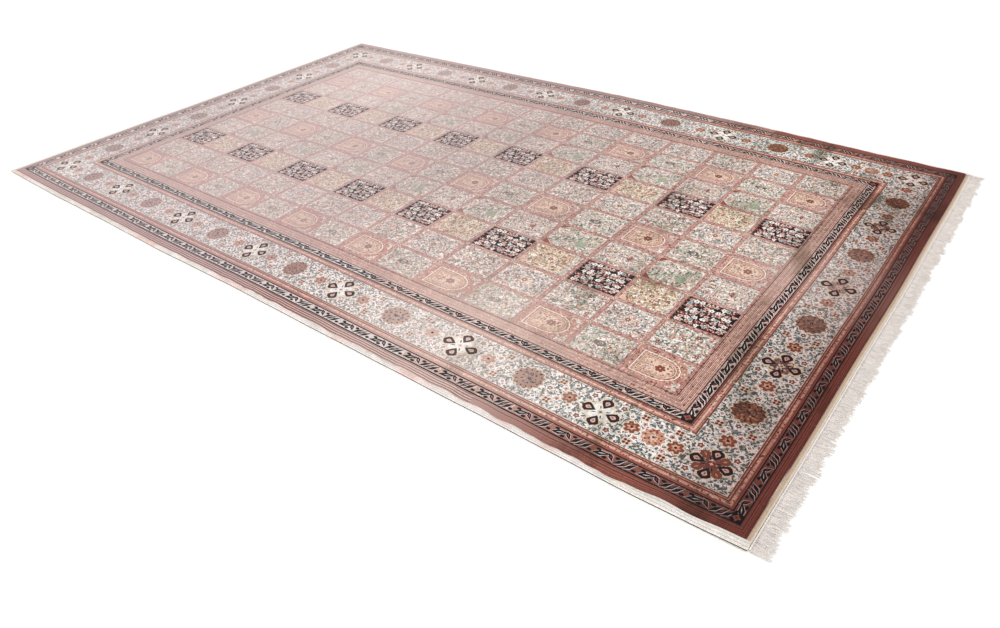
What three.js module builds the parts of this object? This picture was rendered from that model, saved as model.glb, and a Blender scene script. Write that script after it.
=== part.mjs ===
// A knotted rug of compartment design, lying flat with its pile up: the pile
// carpet, an overcast selvedge down each long side, a flat woven band across
// each end, and the warp fringe that grows out of each band.
// Millimetres, +Z up. +X runs along the length towards the end with the long
// fringe, +Y runs across the rug.

import * as THREE from "three";

// The pile carpet
const PILE_LENGTH = 2950;
const PILE_WIDTH = 1822;
const PILE_THICKNESS = 6;
const PILE_ROUNDING = 1.5;

// The overcast selvedges
const SELVEDGE_WIDTH = 24;
const SELVEDGE_THICKNESS = 5;
const SELVEDGE_SHOULDER = 0.35;

// The flat woven end bands
const BAND_WIDTH = 13;
const BAND_THICKNESS = 2.4;

// The fringes: one comb at each end, a spine of knots with a tooth for each
// bunch of warps
const SPINE_WIDTH = 4;
const FRINGE_THICKNESS = 2.2;
const FRINGE_INSET = 6;
const BUNCH_PITCH = 24;
const BUNCH_GAP = 3.4;
const BUNCH_LEAN = 1.1;

// One row for each end of the rug: which way it points, how long its bunches
// of warps are past the knots, and how uneven their tips are
const ENDS = [
  { name: "left", side: -1, bunch: 11, uneven: 0.8 },
  { name: "right", side: 1, bunch: 37, uneven: 4 },
];

// Meeting pieces stay this far apart
const GAP = 0.3;

// Steps along the long sides and across the ends
const LENGTH_STEPS = 44;
const WIDTH_STEPS = 28;
const ARC_STEPS = 6;

// Hand weaving leaves the outline a little out of true. Each row is one slow
// wave: the axis that it moves, how far, its wavelength and where it starts.
const WAVES = [
  { moves: "x", reach: 2.2, length: 2100, start: 300 },
  { moves: "x", reach: 0.8, length: 640, start: 90 },
  { moves: "y", reach: 2.6, length: 2700, start: 500 },
  { moves: "y", reach: 1.1, length: 830, start: 210 },
];

// The far side is drawn in towards the long fringe: its slope, where it starts
// and over what length it bends
const TAPER = { slope: 0.046, start: 240, bend: 200 };

// The near side bows out: how far, where it is widest, the half length of the
// bow, and how far in from the pile's edge it is felt
const BOW = { reach: 9.5, middle: 250, half: 1740, depth: 70 };

const COLOURS = {
  pile: 0xb3968b,
  selvedge: 0xd9c8b4,
  band: 0xc8a98f,
  fringe: 0xe6ded4,
};

// Moves a point of the true rectangle to where the woven rug has it.
function lay(x, y) {
  const moved = { x, y };
  for (const wave of WAVES) {
    const along = wave.moves === "x" ? y : x;
    moved[wave.moves] += wave.reach * Math.sin((2 * Math.PI * (along + wave.start)) / wave.length);
  }
  const past = x - TAPER.start;
  const drawn = (TAPER.slope * (past + Math.hypot(past, TAPER.bend))) / 2;
  moved.y -= drawn * (y / PILE_WIDTH + 0.5);
  const bow = BOW.reach * (1 - Math.abs((x - BOW.middle) / BOW.half) ** 3);
  moved.y -= bow * THREE.MathUtils.clamp((BOW.depth - PILE_WIDTH / 2 - y) / BOW.depth, 0, 1);
  return new THREE.Vector2(moved.x, moved.y);
}

// A repeatable uneven value from -1 to 1 for the item with this number.
function uneven(number) {
  const folded = Math.sin(number * 12.9898 + 4.1414) * 43758.5453;
  return 2 * (folded - Math.floor(folded)) - 1;
}

// A straight run of points in the true rectangle, without its last one.
function run(from, to, steps) {
  const points = [];
  for (let i = 0; i < steps; i++) {
    const t = i / steps;
    points.push([from[0] + (to[0] - from[0]) * t, from[1] + (to[1] - from[1]) * t]);
  }
  return points;
}

// The outline of a rectangle, anticlockwise from above.
function rectangle(x0, x1, y0, y1, alongSteps, acrossSteps) {
  return [
    ...run([x0, y0], [x1, y0], alongSteps),
    ...run([x1, y0], [x1, y1], acrossSteps),
    ...run([x1, y1], [x0, y1], alongSteps),
    ...run([x0, y1], [x0, y0], acrossSteps),
  ];
}

// The same closed outline moved inwards by a distance.
function inset(outline, distance) {
  return outline.map((point, i) => {
    const before = outline[(i + outline.length - 1) % outline.length];
    const after = outline[(i + 1) % outline.length];
    const inA = new THREE.Vector2(before.y - point.y, point.x - before.x).normalize();
    const inB = new THREE.Vector2(point.y - after.y, after.x - point.x).normalize();
    const mean = inA.clone().add(inB).normalize();
    return point.clone().addScaledVector(mean, distance / mean.dot(inA));
  });
}

// A closed solid through rings of points that all have the shape of one
// anticlockwise section, seen against the direction in which the rings go.
function loft(rings, section) {
  const size = section.length;
  const triangles = [];
  for (let level = 0; level + 1 < rings.length; level++) {
    for (let i = 0; i < size; i++) {
      const a = level * size + i;
      const b = level * size + ((i + 1) % size);
      triangles.push(a, b, b + size, a, b + size, a + size);
    }
  }
  const last = (rings.length - 1) * size;
  for (const [a, b, c] of THREE.ShapeUtils.triangulateShape(section, [])) {
    triangles.push(a, c, b);
    triangles.push(last + a, last + b, last + c);
  }
  const geometry = new THREE.BufferGeometry().setFromPoints(rings.flat());
  geometry.setIndex(triangles);
  geometry.computeVertexNormals();
  return geometry;
}

// A flat solid from outlines at rising heights, a row for each.
function slab(levels) {
  const rings = levels.map(({ outline, z }) => outline.map((p) => new THREE.Vector3(p.x, p.y, z)));
  return loft(rings, levels[0].outline);
}

// The knotted pile, with its clipped edge rounded over.
function pileCarpet() {
  const halfLength = PILE_LENGTH / 2;
  const halfWidth = PILE_WIDTH / 2;
  const plan = rectangle(-halfLength, halfLength, -halfWidth, halfWidth, LENGTH_STEPS, WIDTH_STEPS);
  const outline = plan.map(([x, y]) => lay(x, y));
  return slab([
    { outline, z: 0 },
    { outline, z: PILE_THICKNESS - PILE_ROUNDING },
    { outline: inset(outline, PILE_ROUNDING), z: PILE_THICKNESS },
  ]);
}

// A selvedge is a flat-bottomed cord bound to the side of the pile. Its
// section is swept along the rug and runs past the pile over both end bands.
function selvedge(side) {
  const inner = PILE_WIDTH / 2 + GAP;
  const reach = PILE_LENGTH / 2 + GAP + BAND_WIDTH;
  const shoulder = SELVEDGE_THICKNESS * SELVEDGE_SHOULDER;
  const section = [new THREE.Vector2(0, 0), new THREE.Vector2(SELVEDGE_WIDTH, 0)];
  for (let i = 0; i <= ARC_STEPS; i++) {
    const angle = (Math.PI * i) / ARC_STEPS;
    const across = (SELVEDGE_WIDTH / 2) * (1 + Math.cos(angle));
    const z = shoulder + (SELVEDGE_THICKNESS - shoulder) * Math.sin(angle);
    section.push(new THREE.Vector2(across, z));
  }
  for (const point of section) point.x = side * (inner + point.x);
  if (side < 0) section.reverse();
  const rings = [];
  for (let step = 0; step <= LENGTH_STEPS; step++) {
    const along = -reach + (2 * reach * step) / LENGTH_STEPS;
    rings.push(section.map((point) => {
      const { x, y } = lay(along, point.x);
      return new THREE.Vector3(x, y, point.y);
    }));
  }
  return loft(rings, section);
}

// A flat woven band between the two selvedges, beyond the pile at one end.
function endBand(side) {
  const near = side * (PILE_LENGTH / 2 + GAP);
  const far = side * (PILE_LENGTH / 2 + GAP + BAND_WIDTH);
  const halfWidth = PILE_WIDTH / 2;
  const plan = rectangle(Math.min(near, far), Math.max(near, far), -halfWidth, halfWidth, 1, WIDTH_STEPS);
  const outline = plan.map(([x, y]) => lay(x, y));
  return slab([
    { outline, z: 0 },
    { outline, z: BAND_THICKNESS },
  ]);
}

// One fringe: a spine along the band, with a tooth for each bunch of warps.
// Every tooth has its own length and lean.
function fringe(end) {
  const start = PILE_LENGTH / 2 + 2 * GAP + BAND_WIDTH;
  const root = start + SPINE_WIDTH;
  const halfWidth = PILE_WIDTH / 2 + SELVEDGE_WIDTH - FRINGE_INSET;
  const count = Math.round((2 * halfWidth) / BUNCH_PITCH);
  const pitch = (2 * halfWidth) / count;
  const half = (pitch - BUNCH_GAP) / 2;
  const outline = [[start, -halfWidth]];
  for (let i = 0; i < count; i++) {
    const centre = -halfWidth + pitch * (i + 0.5);
    const number = i * 2 + (end.side > 0 ? 1 : 0);
    const length = end.bunch + end.uneven * uneven(number);
    const lean = BUNCH_LEAN * uneven(number + 500);
    outline.push([root, centre - half]);
    outline.push([root + length * 0.8, centre - half + lean]);
    outline.push([root + length, centre - half * 0.5 + lean]);
    outline.push([root + length, centre + half * 0.5 + lean]);
    outline.push([root + length * 0.8, centre + half + lean]);
    outline.push([root, centre + half]);
  }
  outline.push([start, halfWidth]);
  for (const [, y] of run([start, halfWidth], [start, -halfWidth], WIDTH_STEPS).slice(1)) {
    outline.push([start, y]);
  }
  const laid = outline.map(([x, y]) => lay(end.side * x, y));
  if (end.side < 0) laid.reverse();
  return slab([
    { outline: laid, z: 0 },
    { outline: laid, z: FRINGE_THICKNESS },
  ]);
}

const rug = new THREE.Group();

function add(name, geometry, color, roughness) {
  const material = new THREE.MeshStandardMaterial({ color, roughness, metalness: 0 });
  const mesh = new THREE.Mesh(geometry, material);
  mesh.name = name;
  rug.add(mesh);
  return mesh;
}

add("pile_carpet", pileCarpet(), COLOURS.pile, 0.6);
add("selvedge_near", selvedge(-1), COLOURS.selvedge, 0.8);
add("selvedge_far", selvedge(1), COLOURS.selvedge, 0.8);
for (const end of ENDS) {
  add(`end_band_${end.name}`, endBand(end.side), COLOURS.band, 0.85);
  add(`fringe_${end.name}`, fringe(end), COLOURS.fringe, 0.85);
}

// The frame's origin is the middle of the whole rug, on the floor.
const middle = new THREE.Box3().setFromObject(rug, true).getCenter(new THREE.Vector3());
rug.position.set(-middle.x, -middle.y, 0);

export default rug;
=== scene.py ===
import math
import random

import bpy
import numpy as np
from bpy.props import FloatProperty, FloatVectorProperty, IntProperty, PointerProperty
from bpy.types import Operator, Panel, PropertyGroup
from mathutils import Matrix, Vector
from mathutils.geometry import delaunay_2d_cdt


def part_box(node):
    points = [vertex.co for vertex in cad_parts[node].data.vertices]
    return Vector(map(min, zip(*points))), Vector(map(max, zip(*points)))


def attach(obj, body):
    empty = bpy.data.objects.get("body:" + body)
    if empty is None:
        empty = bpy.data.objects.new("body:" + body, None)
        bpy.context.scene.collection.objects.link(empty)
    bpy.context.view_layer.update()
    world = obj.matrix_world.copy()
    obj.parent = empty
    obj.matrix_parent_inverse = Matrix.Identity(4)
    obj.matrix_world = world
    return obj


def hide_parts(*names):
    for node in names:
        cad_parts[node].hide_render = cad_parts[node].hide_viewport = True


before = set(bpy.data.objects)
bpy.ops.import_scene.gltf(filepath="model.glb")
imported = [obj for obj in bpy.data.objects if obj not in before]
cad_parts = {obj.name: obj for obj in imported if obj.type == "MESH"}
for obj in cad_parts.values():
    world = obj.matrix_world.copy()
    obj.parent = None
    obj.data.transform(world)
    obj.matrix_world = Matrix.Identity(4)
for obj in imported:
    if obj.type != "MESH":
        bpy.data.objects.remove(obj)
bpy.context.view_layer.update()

bl_info = {
    "name": "Kashmir Rug",
    "version": (1, 0, 0),
    "blender": (4, 5, 0),
    "location": "3D View > Sidebar > Rug",
    "description": "Builds a knotted rug of compartment design with its selvedges, end bands and fringes",
    "category": "Object",
}

MM = 0.001
TURN = 2 * math.pi

# The true rectangle of the pile, in millimetres, before weaving pulls it out of true
HALF_LENGTH = 1475.0
HALF_WIDTH = 911.0
GAP = 0.3

# Where the borders change, in millimetres in from the pile's edge
GUARD_OUT = 20.0
MINOR_OUT = 44.5
GUARD_MID = 69.5
MAIN_IN = 194.0
GUARD_IN = 220.0
MINOR_IN = 247.5
FIELD_IN = 287.0

# The field's compartments and the main border's flowers
COLUMNS = 15
ROWS = 10
LATTICE = 14.0
CELL_LONG = 2 * (HALF_LENGTH - FIELD_IN) / COLUMNS
CELL_WIDE = 2 * (HALF_WIDTH - FIELD_IN) / ROWS
CELL_X = (CELL_LONG - LATTICE) / 2
CELL_Y = (CELL_WIDE - LATTICE) / 2
FLOWER_LINE = 133.0
LONG_GAP = 403.0

# Slow waves of the outline, as woven: the axis moved, reach, wavelength and start
WAVES = (
    ("x", 2.2, 2100.0, 300.0),
    ("x", 0.8, 640.0, 90.0),
    ("y", 2.6, 2700.0, 500.0),
    ("y", 1.1, 830.0, 210.0),
)

# The far side is drawn in towards the long fringe: its slope, where it starts
# and over what length it bends
TAPER_SLOPE = 0.046
TAPER_START = 240.0
TAPER_BEND = 200.0

# The near side bows out: how far, where it is widest, the half length of the
# bow, and how far in from the pile's edge it is felt
BOW_REACH = 9.5
BOW_MIDDLE = 250.0
BOW_HALF = 1740.0
BOW_DEPTH = 70.0

# The pile's long edges: how far in they give, how far the pile spreads over the
# near and the far cord, and where and how soon the near right corner is bound tight
EDGE_GIVE = 24.0
SPREAD_NEAR = 8.0
SPREAD_FAR = 15.0
TIGHT_FROM = 1330.0
TIGHT_RUN = 150.0
TIGHT_SHARE = 0.2

# The edges wander more towards the long fringe: where this starts, and over what run
WANDER_FROM = -1100.0
WANDER_RUN = 1500.0

# How far from the near right corner the lying rug starts to stand off the floor
CORNER_REACH = 260.0

# The lower edge of the pile's sides and of the end bands stands this far over the
# floor, in millimetres
SOLE = 0.3

# The end bands' cloth and the fringes: widths, pitches and counts
BAND_BREADTH = 12.6
BAND_PICKS = 12
BAND_WARPS = 760
KNOT_PITCH = 4.4
BUNCH_PITCH = 24.0
STRAND_STEPS = 6

# How far the design lies off its even plan, along and across the rug: the
# weaver beat some rows harder than others
BEATEN_ALONG = (
    (-1475, 0), (-1340, 14), (-1190, 4), (-1030, -4), (-710, -9), (-390, -14), (-79, -31), (100, -41),
    (238, -42),
    (400, -30), (555, -14), (720, 5), (870, 13), (1110, 8), (1342, 5), (1475, 0),
)
BEATEN_ACROSS = (
    (-911, 0), (-780, -2), (-480, -12), (-190, -1), (60, 11), (310, 12), (560, 1), (778, -5), (911, 0),
)


def linear(hex_value):
    """An sRGB hex colour as linear red, green and blue."""
    channels = [int(hex_value[i:i + 2], 16) / 255 for i in (1, 3, 5)]
    return tuple(c / 12.92 if c <= 0.04045 else ((c + 0.055) / 1.055) ** 2.4 for c in channels)


def dye(name, description, hex_value):
    """A colour setting for one dyed yarn."""
    return FloatVectorProperty(
        name=name,
        description=description,
        subtype="COLOR",
        size=3,
        min=0,
        max=1,
        default=linear(hex_value),
    )


def measure(name, description, default, low):
    """A size setting, in metres."""
    return FloatProperty(
        name=name, description=description, default=default, min=low, subtype="DISTANCE", unit="LENGTH",
    )


# The lie of the rug


def sway(x, y):
    """Moves a point of the true rectangle to where the woven rug has it."""
    moved = {"x": x, "y": y}
    for axis, reach, length, start in WAVES:
        along = y if axis == "x" else x
        moved[axis] = moved[axis] + reach * np.sin(TURN * (along + start) / length)
    past = x - TAPER_START
    drawn = TAPER_SLOPE * (past + np.hypot(past, TAPER_BEND)) / 2
    bow = BOW_REACH * (1 - np.abs((x - BOW_MIDDLE) / BOW_HALF) ** 3)
    felt = np.clip((BOW_DEPTH - HALF_WIDTH - y) / BOW_DEPTH, 0, 1)
    return moved["x"], moved["y"] - drawn * (y / (2 * HALF_WIDTH) + 0.5) - bow * felt


def pile_shift():
    """How far the frame's origin lies from the true rectangle's middle, in millimetres."""
    low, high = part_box("pile_carpet")
    run_x = np.linspace(-HALF_LENGTH, HALF_LENGTH, 600)
    run_y = np.linspace(-HALF_WIDTH, HALF_WIDTH, 600)
    left = sway(-HALF_LENGTH, run_y)[0].min()
    right = sway(HALF_LENGTH, run_y)[0].max()
    near = sway(run_x, -HALF_WIDTH)[1].min()
    far = sway(run_x, HALF_WIDTH)[1].max()
    return ((low.x + high.x) / MM - left - right) / 2, ((low.y + high.y) / MM - near - far) / 2


SHIFT_X, SHIFT_Y = pile_shift()


def stands_off(x, y, settings):
    """How far the lying rug stands off the floor at a point, in millimetres."""
    slow = np.sin(x / 210.0 + 0.7 * np.sin(y / 260.0)) * np.sin(y / 170.0 + 1.3)
    fine = np.sin(x / 71.0 + y / 133.0) * np.sin(x / 190.0 - y / 88.0)
    ripple = settings.ripple / MM * (0.5 + 0.36 * slow + 0.14 * fine)
    away = np.hypot(x - HALF_LENGTH, y + HALF_WIDTH)
    corner = np.clip(1 - away / CORNER_REACH, 0, 1) ** 2
    return ripple + settings.corner_lift / MM * corner


def pulled(x, y):
    """How far the long edges of the pile lie off true, in millimetres. The overcasting pulls them in and out
    near the long fringe, and the pile spreads over the cords."""
    near = np.clip(1 - np.abs(np.abs(y) - HALF_WIDTH) / EDGE_GIVE, 0, 1)
    right = np.clip((x - WANDER_FROM) / WANDER_RUN, TIGHT_SHARE, 1)
    wave = 1.5 * np.sin(x / 22.0 + 2 * np.sin(x / 131.0)) + 0.9 * np.sin(x / 11.0 + 3 * np.sin(x / 87.0))
    corner = np.clip((TIGHT_FROM - x) / TIGHT_RUN, TIGHT_SHARE, 1)
    return near * (right * wave + np.where(y < 0, -SPREAD_NEAR * corner, SPREAD_FAR))


def beaten(points):
    """Points of the even plan, where the weaver's beating has put them."""
    points = np.array(points, float)
    for axis, table in ((0, BEATEN_ALONG), (1, BEATEN_ACROSS)):
        at, by = zip(*table)
        points[:, axis] += np.interp(points[:, axis], at, by)
    return points


def in_frame(points, settings):
    """Points in the true rectangle, with heights over the rug's underside, as frame metres."""
    x, y, z = np.asarray(points, float).T
    lift = stands_off(x, y, settings)
    moved_x, moved_y = sway(x, y)
    moved_y = moved_y + pulled(x, y)
    return np.stack([moved_x + SHIFT_X, moved_y + SHIFT_Y, z + lift], 1) * MM


# Shapes of the motifs, in millimetres


def box(x0, x1, y0, y1):
    return [(x0, y0), (x1, y0), (x1, y1), (x0, y1)]


def oval(rx, ry=None, sides=8, start=0.0):
    ry = rx if ry is None else ry
    angles = [start + TURN * i / sides for i in range(sides)]
    return [(rx * math.cos(a), ry * math.sin(a)) for a in angles]


def petals(count, outer, inner, start=0.0):
    """The outline of an open flower with pointed petals."""
    angles = [start + math.pi * i / count for i in range(2 * count)]
    reach = [outer, inner] * count
    return [(r * math.cos(a), r * math.sin(a)) for r, a in zip(reach, angles)]


def lobes(count, outer, inner, start=0.0):
    """The outline of an open flower with blunt petals."""
    outline = []
    for i in range(count):
        middle = start + TURN * i / count
        for offset, reach in ((-0.5, inner), (-0.22, outer), (0.22, outer)):
            angle = middle + offset * TURN / count
            outline.append((reach * math.cos(angle), reach * math.sin(angle)))
    return outline


def leaf(length, width):
    return [(-length / 2, 0), (-length * 0.08, -width / 2), (length / 2, 0), (-length * 0.08, width / 2)]


def spade(length, width):
    """A broad petal along +X, narrow at the origin and drawn to a point at its tip."""
    half = [(0.32, 0.30), (0.62, 0.5), (0.82, 0.36)]
    lower = [(length * x, -width * y) for x, y in half]
    upper = [(length * x, width * y) for x, y in reversed(half)]
    return [(0, 0), *lower, (length, 0), *upper]


def niche(left, right, half, steps=8):
    """A round-headed arch, open side to the left."""
    spring = right - half * 1.15
    outline = [(left, half), (left, -half)]
    for i in range(steps + 1):
        angle = -math.pi / 2 + math.pi * i / steps
        outline.append((spring + (right - spring) * math.cos(angle), half * math.sin(angle)))
    return outline


class Chart:
    """Dyed patches in paint order. A later patch covers what lies under it."""

    def __init__(self, seed=0):
        self.patches = []
        self.chance = random.Random(seed)

    def add(self, yarn, outline, x=0.0, y=0.0, turn=0.0):
        cosine = math.cos(turn)
        sine = math.sin(turn)
        placed = [(x + px * cosine - py * sine, y + px * sine + py * cosine) for px, py in outline]
        self.patches.append((yarn, placed))

    def stamp(self, chart, place):
        for yarn, outline in chart.patches:
            self.patches.append((yarn, [place(px, py) for px, py in outline]))

    def stem(self, yarn, x0, y0, x1, y1, width=1.5):
        length = math.hypot(x1 - x0, y1 - y0)
        turn = math.atan2(y1 - y0, x1 - x0)
        self.add(yarn, box(0, length, -width / 2, width / 2), x0, y0, turn)

    def flower(self, yarn, heart, x, y, reach, count=5, turn=0.0):
        self.add(yarn, petals(count, reach, reach * 0.56), x, y, turn)
        self.add(heart, oval(reach * 0.3, sides=4), x, y, turn)

    def wreath(self, yarns, rx, ry, count, length, width, lean=0.5):
        for i in range(count):
            angle = TURN * i / count
            turn = math.atan2(ry * math.cos(angle), -rx * math.sin(angle)) + lean
            self.add(
                yarns[i % len(yarns)], leaf(length, width), rx * math.cos(angle), ry * math.sin(angle),
                turn,
            )

    def scatter(self, yarns, area, pitch, length, width, clear=()):
        """Leaves on a loose lattice over an area, turned every way, that keep clear of round places."""
        x0, x1, y0, y1 = area
        columns = max(1, round((x1 - x0) / pitch))
        rows = max(1, round((y1 - y0) / pitch))
        step_x = (x1 - x0) / columns
        step_y = (y1 - y0) / rows
        for i in range(columns):
            for j in range(rows):
                sway_x = self.chance.uniform(-0.28, 0.28)
                sway_y = self.chance.uniform(-0.28, 0.28)
                turn = self.chance.uniform(0, math.pi)
                size = self.chance.uniform(0.8, 1.15)
                yarn = self.chance.choice(yarns)
                x = x0 + step_x * (i + 0.5 + sway_x)
                y = y0 + step_y * (j + 0.5 + sway_y)
                if any(math.hypot(x - cx, y - cy) < reach for cx, cy, reach in clear):
                    continue
                self.add(yarn, leaf(length * size, width * size), x, y, turn)


# The compartments, charted round the origin


def ground(chart, yarn):
    chart.add("rust", box(-CELL_X - 0.8, CELL_X + 0.8, -CELL_Y - 0.8, CELL_Y + 0.8))
    chart.add(yarn, box(-CELL_X, CELL_X, -CELL_Y, CELL_Y))


def orange_arch(pale):
    chart = Chart(11)
    ground(chart, "rose" if pale else "terracotta")
    flecks = ("cream", "peach", "rust", "rust", "gold", "sage")
    chart.scatter(flecks, (-70, 70, -54, 54), 13, 7, 3.2, clear=((8, 0, 36), (-36, 0, 36)))
    for side in (-1, 1):
        chart.add(
            "green_ground",
            [(70, side * 54), (34, side * 54), (52, side * 44), (60, side * 33), (70, side * 18)],
        )
        for x, y, turn in ((60, 46, 0.4), (50, 49, 2.8), (65, 36, 1.4), (64, 26, 1.7)):
            chart.add("ivory", leaf(10, 4.4), x, side * y, side * turn)
    rings = (
        ("rust", 0), ("white", 1.4), ("orange", 4.4), ("rust", 9.6), ("cream", 10.8), ("terracotta", 13.2),
        ("cream", 17.4), ("rust", 19.2), ("peach", 20.4),
    )
    for yarn, margin in rings:
        chart.add(yarn, niche(-62 + margin * 0.9, 56 - margin, 46 - margin))
    for i in range(9):
        angle = -1.35 + 2.7 * i / 8
        chart.add("rust", leaf(6, 3), 12 + 37 * math.cos(angle), 39 * math.sin(angle), angle)
    for x in (-52, -38, -24, -10):
        for side in (-1, 1):
            chart.add("rust", leaf(6, 3), x, side * 41, 0.4 * side)
            chart.add("brick", leaf(7, 3.4), x + 6, side * 32, 0)
    chart.add("cream", lobes(6, 17, 13), 4, 0)
    chart.add("rust", lobes(6, 14, 10), 4, 0)
    chart.flower("brick", "cream", 4, 0, 8, 6)
    chart.stem("brick", -40, 0, -14, 0, 2)
    for x, y, turn in ((-24, 7, 0.7), (-24, -7, -0.7), (-34, 6, 0.5), (-34, -6, -0.5)):
        chart.add("sage", leaf(11, 4.4), x, y, turn)
    return chart


def green_vase():
    chart = Chart(12)
    ground(chart, "green_ground")
    greens = ("sage", "moss", "lilac", "ivory", "sage", "ivory", "slate")
    chart.scatter(greens, (-71, 71, -54, 54), 17, 13, 5.4, clear=((2, 0, 27),))
    chart.wreath(("moss", "lilac", "ivory", "sage"), 56, 41, 22, 13, 5)
    chart.wreath(("ivory", "rose", "sage"), 38, 28, 14, 10, 4.4, -0.6)
    chart.add("olive", [(-26, -9), (-19, -6), (-19, 6), (-26, 9)])
    chart.add("slate", [(-20, -5), (-12, -12), (-1, -12), (7, -6), (7, 6), (-1, 12), (-12, 12), (-20, 5)])
    chart.add("gold", [(-12, -7), (-4, -8), (0, -4), (0, 4), (-4, 8), (-12, 7)])
    chart.flower("brick", "cream", -7, 0, 5.5)
    for turn, yarn in ((-0.9, "moss"), (-0.45, "gold"), (0, "brick"), (0.45, "gold"), (0.9, "moss")):
        x = 20 * math.cos(turn)
        y = 20 * math.sin(turn)
        chart.stem("olive", 6, 0, x, y, 1.4)
        chart.add(yarn, leaf(13, 6), x + 3, y, turn)
    return chart


def ivory_foliage():
    chart = Chart(13)
    ground(chart, "pale_ground")
    stems = ((-66, -44, 8, -12), (-60, 40, -8, 20), (-20, -50, 44, -22), (8, -12, 62, 16), (-8, 20, 46, 46))
    greens = ("moss", "sage", "sage", "celadon", "slate", "moss")
    chart.scatter(greens, (-71, 71, -54, 54), 17, 13, 5.2)
    for x0, y0, x1, y1 in stems:
        chart.stem("moss", x0, y0, x1, y1, 1.8)
        turn = math.atan2(y1 - y0, x1 - x0)
        for step in (0.25, 0.5, 0.75):
            x = x0 + (x1 - x0) * step
            y = y0 + (y1 - y0) * step
            chart.add("moss", leaf(12, 5), x + 4, y + 5, turn + 0.9)
            chart.add("moss", leaf(12, 5), x + 4, y - 5, turn - 0.9)
    blooms = (
        (-52, -34, "brick"), (-44, 32, "orange"), (-10, -36, "rose"), (0, 8, "brick"), (22, -18, "orange"),
        (28, 34, "brick"), (54, 12, "rose"), (56, -36, "brick"), (-30, 0, "orange"), (58, 44, "orange"),
    )
    for x, y, yarn in blooms:
        chart.flower(yarn, "cream", x, y, 8)
    return chart


def lilac_wreath():
    chart = Chart(14)
    ground(chart, "pale_ground")
    pale = ("pale_slate", "lilac", "sage", "celadon", "rose", "lilac")
    chart.scatter(pale, (-71, 71, -54, 54), 17, 12, 5.2, clear=((0, 0, 18), (-56, 0, 10)))
    chart.wreath(("slate", "lilac", "pale_slate"), 52, 38, 24, 14, 6, 0.45)
    chart.wreath(("lilac", "ivory", "slate"), 40, 28, 18, 11, 5, -0.45)
    chart.wreath(("moss", "rose"), 26, 19, 12, 9, 4, 0.8)
    chart.flower("cream", "rust", 0, 0, 15, 8)
    chart.flower("rust", "cream", 0, 0, 11, 8)
    chart.flower("rust", "cream", -58, 0, 8.5, 6)
    for x, y in ((60, 44), (60, -44), (-60, 44), (-60, -44)):
        chart.flower("rose", "gold", x, y, 7)
    return chart


def dark_florets():
    chart = Chart(15)
    chart.add("maroon", box(-CELL_X - 1.6, CELL_X + 1.6, -CELL_Y - 1.6, CELL_Y + 1.6))
    chart.add("navy", [(-CELL_X, CELL_Y), (-CELL_X, -CELL_Y), (CELL_X, -CELL_Y), (CELL_X, CELL_Y)])
    for i in range(7):
        y = -CELL_Y + (i + 0.5) * 2 * CELL_Y / 7
        chart.add("rust", [(-CELL_X, y - 5), (-CELL_X + 6, y), (-CELL_X, y + 5)])
    yarns = ("white", "blush", "brick", "white", "rose", "pale_slate", "rose", "peach", "white", "brick")
    columns = 9
    rows = 7
    spots = []
    for i in range(columns):
        for j in range(rows):
            x = -CELL_X + 11 + (i + (0.3 if j % 2 else -0.1)) * 15.4 + chart.chance.uniform(-4, 4)
            y = -CELL_Y + (j + 0.5) * 2 * CELL_Y / rows + chart.chance.uniform(-3.5, 3.5)
            spots.append((min(CELL_X - 8, x), max(-CELL_Y + 7, min(CELL_Y - 7, y))))
    for x, y in spots:
        turn = chart.chance.choice((0.5, 2.2, 3.6, 5.3))
        chart.add("brick", leaf(11, 3.4), x + 6 * math.cos(turn), y + 6 * math.sin(turn), turn)
        chart.add(
            "white", leaf(10, 4.2), x + 7 * math.cos(turn + 1.4), y + 7 * math.sin(turn + 1.4), turn + 0.6,
        )
        chart.add(
            "rose", leaf(10, 4.4), x + 7 * math.cos(turn + 3.4), y + 7 * math.sin(turn + 3.4), turn + 2.6,
        )
    for number, (x, y) in enumerate(spots):
        yarn = yarns[number % len(yarns)]
        heart = "white" if yarn == "brick" else "maroon"
        reach = chart.chance.uniform(6.4, 9.8)
        chart.add(yarn, petals(5, reach, reach * 0.6, chart.chance.uniform(0, 1)), x, y)
        chart.add(heart, oval(reach * 0.28, sides=4), x, y)
    return chart


def gold_arch():
    chart = Chart(16)
    ground(chart, "gold")
    chart.add("peach", [(-CELL_X, -CELL_Y), (-34, -CELL_Y), (-52, -36), (-CELL_X, -20)])
    flecks = ("olive", "cream", "rust", "sage", "peach", "olive")
    chart.scatter(flecks, (-71, 36, -54, 54), 15, 10, 4.4)
    chart.add("cream", [(36, 55), (52, 40), (62, 16), (62, -16), (52, -40), (36, -55), (72, -55), (72, 55)])
    chart.add(
        "pale_ground",
        [(40, 55), (55, 40), (64.5, 16), (64.5, -16), (55, -40), (40, -55), (72, -55), (72, 55)],
    )
    for x, y, turn in (
        (64, 44, 0.9), (68, 28, 1.4), (64, -44, -0.9), (68, -28, -1.4), (52, 51, 0.3), (52, -51, -0.3),
    ):
        chart.add("sage", leaf(11, 4.6), x, y, turn)
    chart.wreath(("cream", "olive", "rust"), 30, 26, 14, 9, 4)
    chart.add("cream", lobes(6, 14, 10))
    chart.flower("rust", "cream", 0, 0, 10, 6)
    for x, y in ((-48, 34), (-48, -30), (-34, 2), (26, 30), (26, -30), (44, 0)):
        chart.flower("rust", "gold", x, y, 6.5)
    return chart


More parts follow.
